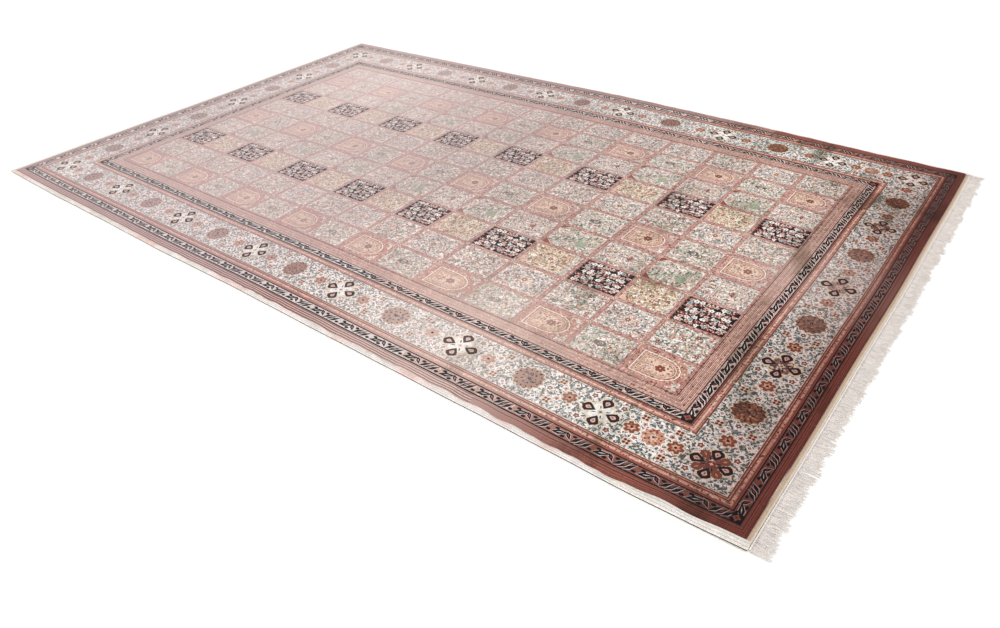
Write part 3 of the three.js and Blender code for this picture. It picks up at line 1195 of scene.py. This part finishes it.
    # Painted shade past the field towards the long fringe, deepening the colour there: where this starts and
    # ends, how much, and the colour
    for start, end, most, painted_tint in (
        (1.1, 1.4, 0.95, (0.62, 0.53, 0.52)), (1.37, 1.43, 0.8, (0.68, 0.56, 0.55)),
    ):
        deep = node(
            material, "ShaderNodeMapRange", [("Value", along)], in_From_Min=start, in_From_Max=end,
            in_To_Max=most,
            interpolation_type="SMOOTHSTEP",
        )
        colour = node(
            material, "ShaderNodeMix", [(0, deep.outputs[0]), (6, colour)], data_type="RGBA",
            blend_type="MULTIPLY",
            in_7=(*painted_tint, 1.0),
        ).outputs[2]
    # The gloss breaks up where the pile lies unevenly
    rough = node(
        material, "ShaderNodeMapRange", [("Value", knots.outputs[0])], in_To_Min=0.3, in_To_Max=0.44,
    )
    join(material, rough.outputs[0], shader, "Roughness")
    # Rows of knots across the rug, drawn at 3 mm, over the grain of the clipped ends
    rows = node(
        material, "ShaderNodeTexWave", [("Vector", place)], in_Scale=100.0, in_Distortion=1.6,
        in_Detail=2.0,
        in_Detail_Scale=2.0, wave_type="BANDS", bands_direction="X",
    )
    depth = node(
        material, "ShaderNodeMath", [(0, rows.outputs["Fac"]), (1, knots.outputs[0])], operation="ADD",
    )
    # The fibres' ends hide most of each other's shine from above
    dress(
        material, shader, colour, depth.outputs[0], 0.25, 0.0004, IOR=1.57, Specular_IOR_Level=0.12,
        Sheen_Weight=0.05, Sheen_Roughness=0.35, Sheen_Tint=(*linear("#fff0ea"), 1.0),
    )
    return material


def knotted_back():
    """The back of a knotted rug: cotton foundation between rows of flat knots. It is matt and ribbed,
    and the pile's dyes show through pale."""
    material, shader, place = blank("cotton_back_hand_knotted")
    colour = node(material, "ShaderNodeAttribute", attribute_name="dye").outputs["Color"]
    # Wefts every 2.5 mm in life, drawn at 5 mm
    wefts = node(
        material, "ShaderNodeTexWave", [("Vector", place)], in_Scale=32.0, in_Distortion=0.8, in_Detail=1.0,
        bands_direction="X",
    )
    colour = node(
        material, "ShaderNodeMix", [(0, wefts.outputs["Fac"]), (7, colour)], data_type="RGBA",
        in_6=(*linear("#cdbfa8"), 1.0),
    ).outputs[2]
    grain = node(material, "ShaderNodeTexNoise", [("Vector", place)], in_Scale=300.0, in_Detail=2.0)
    colour = tinted(material, grain.outputs[0], 0.8, 1.2, colour, 0.7)
    dress(material, shader, colour, wefts.outputs["Fac"], 0.5, 0.0006, Roughness=0.85)
    return material


def wrapped_cotton():
    """Cotton yarn wrapped over the side cords. Soft and matt, cream, with faint stained lengths."""
    material, shader, place = blank("cotton_yarn_overcast")
    colour = node(material, "ShaderNodeAttribute", attribute_name="dye").outputs["Color"]
    slow = node(material, "ShaderNodeTexNoise", [("Vector", place)], in_Scale=6.0, in_Detail=3.0)
    stain = node(material, "ShaderNodeValToRGB", [("Fac", slow.outputs[0])])
    set_stops(stain, [(0.36, linear("#f0f0e6")), (0.5, (1.0, 1.0, 1.0)), (0.64, linear("#fbe4dc"))])
    colour = node(
        material, "ShaderNodeMix", [(6, colour), (7, stain.outputs[0])], data_type="RGBA",
        blend_type="MULTIPLY", in_0=1.0,
    ).outputs[2]
    # Wraps are 4 mm apart and are modelled; the fibre shows as a mottle at 2 mm
    fibre = node(material, "ShaderNodeTexNoise", [("Vector", place)], in_Scale=480.0, in_Detail=3.0)
    colour = tinted(material, fibre.outputs[0], 0.62, 1.3, colour, 0.8)
    # Handling darkens lengths of a hand's width
    handled = node(
        material, "ShaderNodeTexNoise", [("Vector", place)], in_Scale=16.0, in_Detail=5.0, in_Roughness=0.7,
    )
    colour = tinted(material, handled.outputs[0], 0.78, 1.12, colour, 0.9)
    dress(material, shader, colour, fibre.outputs[0], 0.5, 0.0005, Roughness=0.8, Sheen_Weight=0.1)
    return material


def woven_cotton():
    """Flat-woven cotton band at the ends. Matt, with the weft's ribs and its coloured picks."""
    material, shader, place = blank("cotton_band_flat_woven")
    colour = node(material, "ShaderNodeAttribute", attribute_name="dye").outputs["Color"]
    fibre = node(material, "ShaderNodeTexNoise", [("Vector", place)], in_Scale=420.0, in_Detail=3.0)
    colour = tinted(material, fibre.outputs[0], 0.72, 1.24, colour, 0.85)
    dress(material, shader, colour, fibre.outputs[0], 0.5, 0.0005, Roughness=0.85)
    return material


def warp_cotton(yarn, shade):
    """Plied cotton warps, knotted in bunches. Matt and off-white, greyer where the strands are handled."""
    material, shader, place = blank("cotton_warp_fringe")
    slow = node(material, "ShaderNodeTexNoise", [("Vector", place)], in_Scale=60.0, in_Detail=4.0)
    colour = node(
        material, "ShaderNodeMix", [(0, slow.outputs[0])], data_type="RGBA", in_6=(*yarn, 1.0),
        in_7=(*shade, 1.0),
    ).outputs[2]
    # The ply twists every 2 mm
    ply = node(material, "ShaderNodeTexNoise", [("Vector", place)], in_Scale=500.0, in_Detail=2.0)
    colour = tinted(material, ply.outputs[0], 0.78, 1.18, colour, 0.8)
    dress(material, shader, colour, ply.outputs[0], 0.4, 0.0004, Roughness=0.82, Sheen_Weight=0.25)
    return material


def studio_floor():
    """A painted studio floor: white, matt, with a faint roller stipple."""
    material, shader, place = blank("studio_floor_paint")
    stipple = node(material, "ShaderNodeTexNoise", [("Vector", place)], in_Scale=60.0, in_Detail=2.0)
    rough = node(
        material, "ShaderNodeMapRange", [("Value", stipple.outputs[0])], in_To_Min=0.7, in_To_Max=0.8,
    )
    join(material, rough.outputs[0], shader, "Roughness")
    shader.inputs["Base Color"].default_value = (*linear("#f7f6f4"), 1.0)
    shader.inputs["Specular IOR Level"].default_value = 0.2
    return material


# Settings


class RUG_PG_pile(PropertyGroup):
    height: measure("Pile height", "Height of the clipped pile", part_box("pile_carpet")[1].z, 0.002)
    rounding: measure("Edge rounding", "How far the clipped edge is rounded over", 0.0015, 0.0005)
    ripple: measure("Ripple", "Height of the soft ripples of the lying rug", 0.0016, 0)
    corner_lift: measure("Corner lift", "How far the near right corner stands off the floor", 0.007, 0)


class RUG_PG_dyes(PropertyGroup):
    ivory: dye("Ivory", "Undyed silk of pale details", "#d0c3be")
    border_ground: dye("Border ground", "Pale ground of the main border", "#d6cfcc")
    pale_ground: dye("Pale ground", "Pale ground of the compartments", "#d2c4bd")
    green_ground: dye("Green ground", "Grey-green ground of the compartments", "#c4bcb0")
    white: dye("White", "Bleached silk of the small leaves", "#ebe6e0")
    cream: dye("Cream", "Outlines and halos", "#d9c6b0")
    blush: dye("Blush", "Pale pink of the fine stripes", "#cda79d")
    slate: dye("Slate", "Blue-grey leaves", "#4e5c5e")
    pale_slate: dye("Pale slate", "Light blue-grey leaves", "#98a3a3")
    sage: dye("Sage", "Light green leaves", "#959c86")
    moss: dye("Moss", "Dark green leaves and stems", "#5c644e")
    celadon: dye("Celadon", "Grey-green details", "#a3a192")
    lilac: dye("Lilac", "Lilac leaves", "#938690")
    navy: dye("Navy", "Near-black blue of the dark compartments", "#09060c")
    maroon: dye("Maroon", "Darkest red-brown of outlines and petals", "#220a09")
    mauve: dye("Mauve", "Bodies of the dark flowers", "#62453e")
    brown: dye("Brown", "Serrated rosettes", "#6f4432")
    rust: dye("Rust", "Small flowers", "#7d3e28")
    brick: dye("Brick", "Red stems and flowers", "#7b2a1d")
    guard: dye("Guard", "Rust-brown of the guard stripes", "#7c493d")
    clay: dye("Clay", "Grounds of the narrow borders", "#935343")
    terracotta: dye("Terracotta", "Grounds of the orange compartments", "#b98273")
    lattice: dye("Lattice", "Bars between the compartments", "#bc8f88")
    stripe: dye("Stripe", "Rosy ground of the fine stripes", "#a97d72")
    rose: dye("Rose", "Pink flowers and stripes", "#c4968e")
    peach: dye("Peach", "Pale orange of arches and lozenges", "#dcb9a7")
    orange: dye("Orange", "Orange of the arches", "#c68c72")
    gold: dye("Gold", "Yellow grounds", "#d0b492")
    olive: dye("Olive", "Brown-green of vases and trunks", "#5d5334")


class RUG_PG_edges(PropertyGroup):
    selvedge_height: measure(
        "Selvedge height", "Height of the overcast selvedges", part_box("selvedge_near")[1].z, 0.002,
    )
    selvedge_width: measure("Selvedge width", "Width of the overcast selvedges", 0.0236, 0.005)
    wrap_pitch: measure("Wrap pitch", "Distance from one wrap of yarn to the next", 0.0042, 0.002)
    band_height: measure("Band height", "Thickness of the end bands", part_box("end_band_right")[1].z, 0.001)
    strands: IntProperty(
        name="Strands", description="Strands in each bunch of the fringe", default=22, min=4, max=30,
    )
    strand_radius: measure("Strand radius", "Radius of one warp strand", 0.0006, 0.0002)
    wrap_yarn: dye("Selvedge yarn", "Cotton wrapped over the selvedges", "#f2eae6")
    # The selvedge foot is a painted contact shadow along the outer lower side
    foot_yarn: dye("Selvedge foot", "Shaded lower side of the selvedges", "#1a1712")
    fringe_yarn: dye("Fringe yarn", "Cotton of the warps", "#f8f1eb")
    fringe_shade: dye("Fringe shade", "Greyer parts of the warps", "#dccfc7")


class RUG_PG_stage(PropertyGroup):
    key: FloatProperty(
        name="Key light", description="Strength of the wide, even light from behind the camera",
        default=3.0, min=0,
    )
    high: FloatProperty(
        name="High softbox", description="Power of the softbox over the far left", default=120, min=0,
        unit="POWER",
    )
    low: FloatProperty(
        name="Low softbox", description="Power of the low softbox beyond the left end", default=85, min=0,
        unit="POWER",
    )
    surround: FloatProperty(
        name="Surround", description="Strength of the even white surround", default=0.24, min=0,
    )


# Operators


def yarn_colours(yarns):
    """The linear colour of each yarn in a list of names, and in its alpha how the ground is filled."""
    dyes = bpy.context.scene.rug_dyes
    table = {name: (*getattr(dyes, name), FILLED.get(name, 0)) for name in RUG_PG_dyes.__annotations__}
    return np.array([table[name] for name in yarns])


def pile_points(points, settings):
    """Pile points at their height, rounded over at the outer edge."""
    inset = np.minimum(HALF_LENGTH - np.abs(points[:, 0]), HALF_WIDTH - np.abs(points[:, 1]))
    rounding = settings.rounding / MM
    drop = rounding * np.clip(1 - inset / rounding, 0, 1)
    return in_frame(np.column_stack([points, settings.height / MM - drop]), settings)


class RUG_OT_knot_pile(Operator):
    """Knots the patterned pile: the field of compartments and the borders round it"""

    bl_idname = "rug.knot_pile"
    bl_label = "Knot the pile"

    def execute(self, context):
        settings = context.scene.rug_pile
        chart = Chart(5)
        guards(chart)
        for border in MINOR_BORDERS:
            minor_border(chart, *border)
        main_border(chart)
        field(chart)
        points, triangles, yarns = partition(chart)
        colours = yarn_colours(yarns)
        surface = pile_points(beaten(points), settings)
        middle = points[triangles].mean(1)
        in_length = np.abs(middle[:, 0]) < HALF_LENGTH - FIELD_IN
        inside = in_length & (np.abs(middle[:, 1]) < HALF_WIDTH - FIELD_IN)
        material = silk_pile()
        left = middle[:, 0] < 0
        for side, chosen in (("left", left & inside), ("right", ~left & inside)):
            used, faces = keep_used(surface, triangles[chosen])
            piece = cloth(
                "pile_field_" + side, used, faces, colours[chosen], material, "pile_carpet",
            )
        surface, triangles, colours = self.walls(
            points, surface, triangles[~inside], colours[~inside], settings,
        )
        left = surface[triangles].mean(1)[:, 0] < SHIFT_X * MM
        for side, chosen in (("left", left), ("right", ~left)):
            used, faces = keep_used(surface, triangles[chosen])
            piece = cloth(
                "pile_borders_" + side, used, faces, colours[chosen], material, "pile_carpet",
            )
        return {"FINISHED"}

    def walls(self, points, surface, triangles, colours, settings):
        """Adds the pile's outer side, turned down to the floor."""
        edges = np.concatenate([triangles[:, [0, 1]], triangles[:, [1, 2]], triangles[:, [2, 0]]])
        owner = np.tile(np.arange(len(triangles)), 3)
        inset = np.minimum(HALF_LENGTH - np.abs(points[:, 0]), HALF_WIDTH - np.abs(points[:, 1]))
        rim = (inset[edges] < 0.01).all(1)
        pairs = edges[rim]
        low = points[np.unique(pairs)]
        number = {int(old): len(surface) + new for new, old in enumerate(np.unique(pairs))}
        foot = in_frame(np.column_stack([low, np.full(len(low), SOLE)]), settings)
        walls = np.array([(b, a, number[int(a)], number[int(b)]) for a, b in pairs])
        walls = np.concatenate([walls[:, [0, 1, 2]], walls[:, [0, 2, 3]]])
        # Away from the long fringe the overcasting yarn comes up over the pile's side
        bound = np.clip((1200 - points[pairs].mean(1)[:, :1]) / 500, 0, 0.8)
        yarn = np.array([*bpy.context.scene.rug_edges.wrap_yarn, 0])
        side = colours[owner[rim]] * (1 - bound) + yarn * bound
        paint = np.concatenate([colours, side, side])
        return np.concatenate([surface, foot]), np.concatenate([triangles, walls]), paint


class RUG_OT_weave_back(Operator):
    """Lays the knotted back under the pile, with the large grounds showing through"""

    bl_idname = "rug.weave_back"
    bl_label = "Weave the back"

    def execute(self, context):
        settings = context.scene.rug_pile
        chart = Chart()
        grounds(chart)
        points, triangles, yarns = partition(chart)
        under = np.column_stack([points * 0.9998, np.full(len(points), 0.35)])
        under = in_frame(under, settings)
        piece = cloth(
            "carpet_back", under, triangles[:, ::-1], yarn_colours(yarns), knotted_back(),
            "pile_carpet",
        )
        return {"FINISHED"}


class RUG_OT_bind_selvedges(Operator):
    """Wraps yarn over the cord down each long side"""

    bl_idname = "rug.bind_selvedges"
    bl_label = "Bind the selvedges"

    def execute(self, context):
        pile = context.scene.rug_pile
        edges = context.scene.rug_edges
        material = wrapped_cotton()
        width = edges.selvedge_width / MM
        height = edges.selvedge_height / MM
        pitch = edges.wrap_pitch / MM
        reach = HALF_LENGTH + GAP + 12.8
        chance = random.Random(21)
        yarn = (*edges.wrap_yarn, 0)
        # The foot colour is a painted contact shadow, and the groove colour painted shade
        foot = (*edges.foot_yarn, 0)
        groove_shade = tuple(0.76 * part for part in yarn)
        for side, name in ((-1, "selvedge_near"), (1, "selvedge_far")):
            rings = []
            count = 2 * round(2 * reach / pitch)
            for i in range(count + 1):
                along = -reach + 2 * reach * i / count
                bulge = (0.2 if i % 2 else -0.2) + chance.uniform(-0.1, 0.1)
                breadth = width + 0.8 * math.sin(along / 93) + 0.5 * math.sin(along / 37) - 0.9 + bulge
                section = [(0.4, 0.35), (breadth - 0.4, 0.35)]
                for step in range(13):
                    angle = math.pi * step / 12
                    across = breadth / 2 * (1 + math.cos(angle))
                    cords = 1 - 0.22 * abs(math.cos(3 * math.pi * across / breadth)) ** 6
                    section.append((across, 2.6 + (height - 3.2 + bulge) * math.sin(angle) ** 0.7 * cords))
                slant = 1.2 if i % 2 else 0
                points = [
                    (along + slant * (a / breadth), side * (HALF_WIDTH + GAP + 0.2 + a), z)
                    for a, z in section
                ]
                rings.append(points if side > 0 else points[::-1])
            size = len(rings[0])
            faces = sweep(rings)
            # Painted shade in the cords' grooves, and a painted contact shadow along the outer lower side
            tones = {1: foot, 2: foot, 6: groove_shade, 9: groove_shade}
            if side < 0:
                tones = {size - 2 - place: tone for place, tone in tones.items()}
            colours = [tones.get(number % size, yarn) for number in range(len(faces))]
            points = in_frame([p for r in rings for p in r], pile)
            cloth(name, points, faces, colours, material, name)
        return {"FINISHED"}


class RUG_OT_weave_bands(Operator):
    """Weaves the flat band across each end"""

    bl_idname = "rug.weave_bands"
    bl_label = "Weave the end bands"

    def execute(self, context):
        pile = context.scene.rug_pile
        height = context.scene.rug_edges.band_height / MM
        material = woven_cotton()
        looks = (
            (-1, "end_band_left", ("#8a6c60", "#cfc4b8", "#b9aa9e", "#d6cdc2", "#bfb1a5", "#ddd5ca")),
            (1, "end_band_right", ("#5a3226", "#a9897a", "#bca48e", "#b69d84", "#c6b29c", "#d6c8b6")),
        )
        for side, name, picks in looks:
            rows = BAND_PICKS
            columns = BAND_WARPS
            breadth = 2 * HALF_WIDTH - 1.0
            points = []
            faces = []
            colours = []
            for i in range(rows + 1):
                across = HALF_LENGTH + GAP + 0.15 + BAND_BREADTH * i / rows
                for j in range(columns + 1):
                    over = 0.26 if (i + j) % 2 else -0.26
                    y = -breadth / 2 + breadth * j / columns
                    points.append((side * across, y, height - 0.35 + over))
            for i in range(rows):
                for j in range(columns):
                    a = i * (columns + 1) + j
                    quad = (a, a + columns + 1, a + columns + 2, a + 1)
                    faces.append(quad if side > 0 else quad[::-1])
                    colours.append((*linear(picks[i * len(picks) // rows]), 0))
            rim = list(range(columns + 1))
            rim += [i * (columns + 1) + columns for i in range(1, rows + 1)]
            rim += [rows * (columns + 1) + j for j in range(columns - 1, -1, -1)]
            rim += [i * (columns + 1) for i in range(rows - 1, 0, -1)]
            low = len(points)
            points += [(points[i][0], points[i][1], SOLE) for i in rim]
            for k in range(len(rim)):
                after = (k + 1) % len(rim)
                quad = (rim[k], rim[after], low + after, low + k)
                faces.append(quad if side > 0 else quad[::-1])
                colours.append((*linear(picks[-1]), 0))
            bottom = tuple(range(low, low + len(rim)))
            faces.append(bottom if side > 0 else bottom[::-1])
            colours.append((*linear(picks[-1]), 0))
            cloth(name, in_frame(points, pile), faces, colours, material, name)
        return {"FINISHED"}


class RUG_OT_knot_fringes(Operator):
    """Knots the warps at each end and combs them out in bunches"""

    bl_idname = "rug.knot_fringes"
    bl_label = "Knot the fringes"

    def execute(self, context):
        edges = context.scene.rug_edges
        material = warp_cotton(tuple(edges.fringe_yarn), tuple(edges.fringe_shade))
        # For each end: its side and name, how long its bunches are, and how uneven
        for side, name, reach, uneven in ((-1, "fringe_left", 11.0, 1.0), (1, "fringe_right", 38.0, 4.0)):
            self.fringe(context, side, name, reach, uneven, material)
        return {"FINISHED"}

    def fringe(self, context, side, name, reach, uneven, material):
        pile = context.scene.rug_pile
        edges = context.scene.rug_edges
        chance = random.Random(31 + side)
        start = HALF_LENGTH + 2 * GAP + 13
        half = HALF_WIDTH + 18
        points = []
        faces = []

        def tube(rings):
            first = len(points)
            points.extend(p for r in rings for p in r)
            faces.extend(tuple(first + i for i in face) for face in sweep(rings))

        # The knot line: a cord of small knots along the band
        rings = []
        count = 2 * round(2 * half / KNOT_PITCH)
        for i in range(count + 1):
            along = -half + 2 * half * i / count
            bulge = 1.0 if i % 2 else 0.62
            bulge *= chance.uniform(0.9, 1.06)
            section = [
                (
                    start + 2.3 + 2.1 * bulge * math.cos(TURN * k / 8),
                    1.25 + 0.95 * bulge * math.sin(TURN * k / 8),
                )
                for k in range(8)
            ]
            ordered = section if side < 0 else section[::-1]
            rings.append([(side * x, along, z) for x, z in ordered])
        tube(rings)
        # The strands of each bunch
        bunches = round(2 * half / BUNCH_PITCH)
        pitch = 2 * half / bunches
        radius = edges.strand_radius / MM
        for bunch in range(bunches):
            centre = -half + pitch * (bunch + 0.5) + chance.uniform(-1.5, 1.5)
            length = reach + chance.uniform(-1, 1) * uneven
            lean = chance.uniform(-0.07, 0.07)
            gather = chance.uniform(0.96, 1.2)
            for strand in range(edges.strands):
                t = (strand + 0.5) / edges.strands * 2 - 1
                root_y = centre + t * pitch * 0.5
                tip_y = centre + t * pitch * 0.5 * gather + lean * length + chance.uniform(-1.6, 1.6)
                reach_here = length * chance.uniform(0.8, 1.06)
                wave = chance.uniform(-2.2, 2.2)
                level = chance.uniform(0.7, 1.6)
                path = []
                for k in range(STRAND_STEPS + 1):
                    s = k / STRAND_STEPS
                    bend = wave * math.sin(s * math.pi * 1.5 + strand)
                    y = root_y + (tip_y - root_y) * s ** 1.3 + bend * s
                    path.append((start + 3 + reach_here * s, y, level * (1 - 0.5 * s)))
                rings = []
                for k, (x, y, z) in enumerate(path):
                    thick = radius * (1.15 if k < STRAND_STEPS else 0.5)
                    trio = [(x, y + thick * math.cos(a), z + thick * math.sin(a)) for a in (0.5, 2.6, 4.7)]
                    trio = trio if side > 0 else trio[::-1]
                    rings.append([(side * px, py, max(pz, 0.12)) for px, py, pz in trio])
                tube(rings)
        cloth(name, in_frame(points, pile), faces, None, material, name)


class RUG_OT_set_stage(Operator):
    """Sets the floor, the soft lights and the camera"""

    bl_idname = "rug.set_stage"
    bl_label = "Set the stage"

    def execute(self, context):
        scene = context.scene
        settings = scene.rug_stage
        mesh = bpy.data.meshes.new("floor")
        mesh.from_pydata([(-30, -30, 0), (30, -30, 0), (30, 30, 0), (-30, 30, 0)], [], [(0, 1, 2, 3)])
        floor = bpy.data.objects.new("floor", mesh)
        scene.collection.objects.link(floor)
        mesh.materials.append(studio_floor())
        world = bpy.data.worlds.new("surround")
        world.use_nodes = True
        world.node_tree.nodes["Background"].inputs[0].default_value = (1, 1, 1, 1)
        world.node_tree.nodes["Background"].inputs[1].default_value = settings.surround
        scene.world = world
        key = bpy.data.lights.new("key", "SUN")
        key.energy = settings.key
        key.angle = math.radians(55)
        lamp = bpy.data.objects.new("key", key)
        lamp.rotation_euler = Vector((-0.35, 0.5, -1.0)).to_track_quat("-Z", "Y").to_euler()
        scene.collection.objects.link(lamp)
        self.softbox(scene, "high", (-3.2, 5.2, 6.4), (-0.2, 0.3, 0.0), 5.0, 3.4, settings.high)
        self.softbox(scene, "low", (-7.0, 3.0, 2.2), (-0.8, 0.4, 0.0), 7.0, 3.6, settings.low)
        self.camera(scene)
        scene.view_settings.view_transform = "Standard"
        return {"FINISHED"}

    def softbox(self, scene, name, place, aim, width, height, power):
        light = bpy.data.lights.new(name, "AREA")
        light.shape = "RECTANGLE"
        light.size = width
        light.size_y = height
        light.energy = power
        lamp = bpy.data.objects.new(name, light)
        lamp.location = place
        lamp.rotation_euler = (Vector(aim) - Vector(place)).to_track_quat("-Z", "Y").to_euler()
        scene.collection.objects.link(lamp)

    def camera(self, scene):
        """A camera at a standing person's chest, off the near right corner."""
        place = Vector((1.6865 + SHIFT_X * MM, -1.8284 + SHIFT_Y * MM, 1.1606))
        aim = Vector((0.6658 + SHIFT_X * MM, -0.6123 + SHIFT_Y * MM, 0))
        roll = math.radians(-3.632)
        lens = bpy.data.cameras.new("camera")
        lens.sensor_width = 36
        lens.sensor_fit = "HORIZONTAL"
        lens.lens = 26.709
        lens.clip_start = 0.05
        lens.clip_end = 200
        forward = (aim - place).normalized()
        level = forward.cross(Vector((0, 0, 1))).normalized()
        above = level.cross(forward)
        right = level * math.cos(roll) + above * math.sin(roll)
        up = above * math.cos(roll) - level * math.sin(roll)
        camera = bpy.data.objects.new("camera", lens)
        axes = Matrix((right, up, -forward)).transposed()
        camera.matrix_world = Matrix.Translation(place) @ axes.to_4x4()
        scene.collection.objects.link(camera)
        scene.camera = camera


class RUG_PT_panel(Panel):
    bl_idname = "RUG_PT_panel"
    bl_label = "Kashmir Rug"
    bl_space_type = "VIEW_3D"
    bl_region_type = "UI"
    bl_category = "Rug"

    def draw(self, context):
        layout = self.layout
        for group, title in (
            ("rug_pile", "Pile"), ("rug_dyes", "Dyes"), ("rug_edges", "Edges"), ("rug_stage", "Stage"),
        ):
            column = layout.column(align=True)
            column.label(text=title)
            settings = getattr(context.scene, group)
            for name in settings.__annotations__:
                column.prop(settings, name)
        for operator in OPERATORS:
            layout.operator(operator.bl_idname)


SETTINGS = {
    "rug_pile": RUG_PG_pile,
    "rug_dyes": RUG_PG_dyes,
    "rug_edges": RUG_PG_edges,
    "rug_stage": RUG_PG_stage,
}
OPERATORS = (
    RUG_OT_knot_pile,
    RUG_OT_weave_back,
    RUG_OT_bind_selvedges,
    RUG_OT_weave_bands,
    RUG_OT_knot_fringes,
    RUG_OT_set_stage,
)
CLASSES = (*SETTINGS.values(), *OPERATORS, RUG_PT_panel)


def register():
    for item in CLASSES:
        bpy.utils.register_class(item)
    for name, group in SETTINGS.items():
        setattr(bpy.types.Scene, name, PointerProperty(type=group))


def unregister():
    for name in SETTINGS:
        delattr(bpy.types.Scene, name)
    for item in reversed(CLASSES):
        bpy.utils.unregister_class(item)


def main():
    register()
    bpy.ops.rug.knot_pile()
    bpy.ops.rug.weave_back()
    bpy.ops.rug.bind_selvedges()
    bpy.ops.rug.weave_bands()
    bpy.ops.rug.knot_fringes()
    bpy.ops.rug.set_stage()


if __name__ == "__main__":
    main()
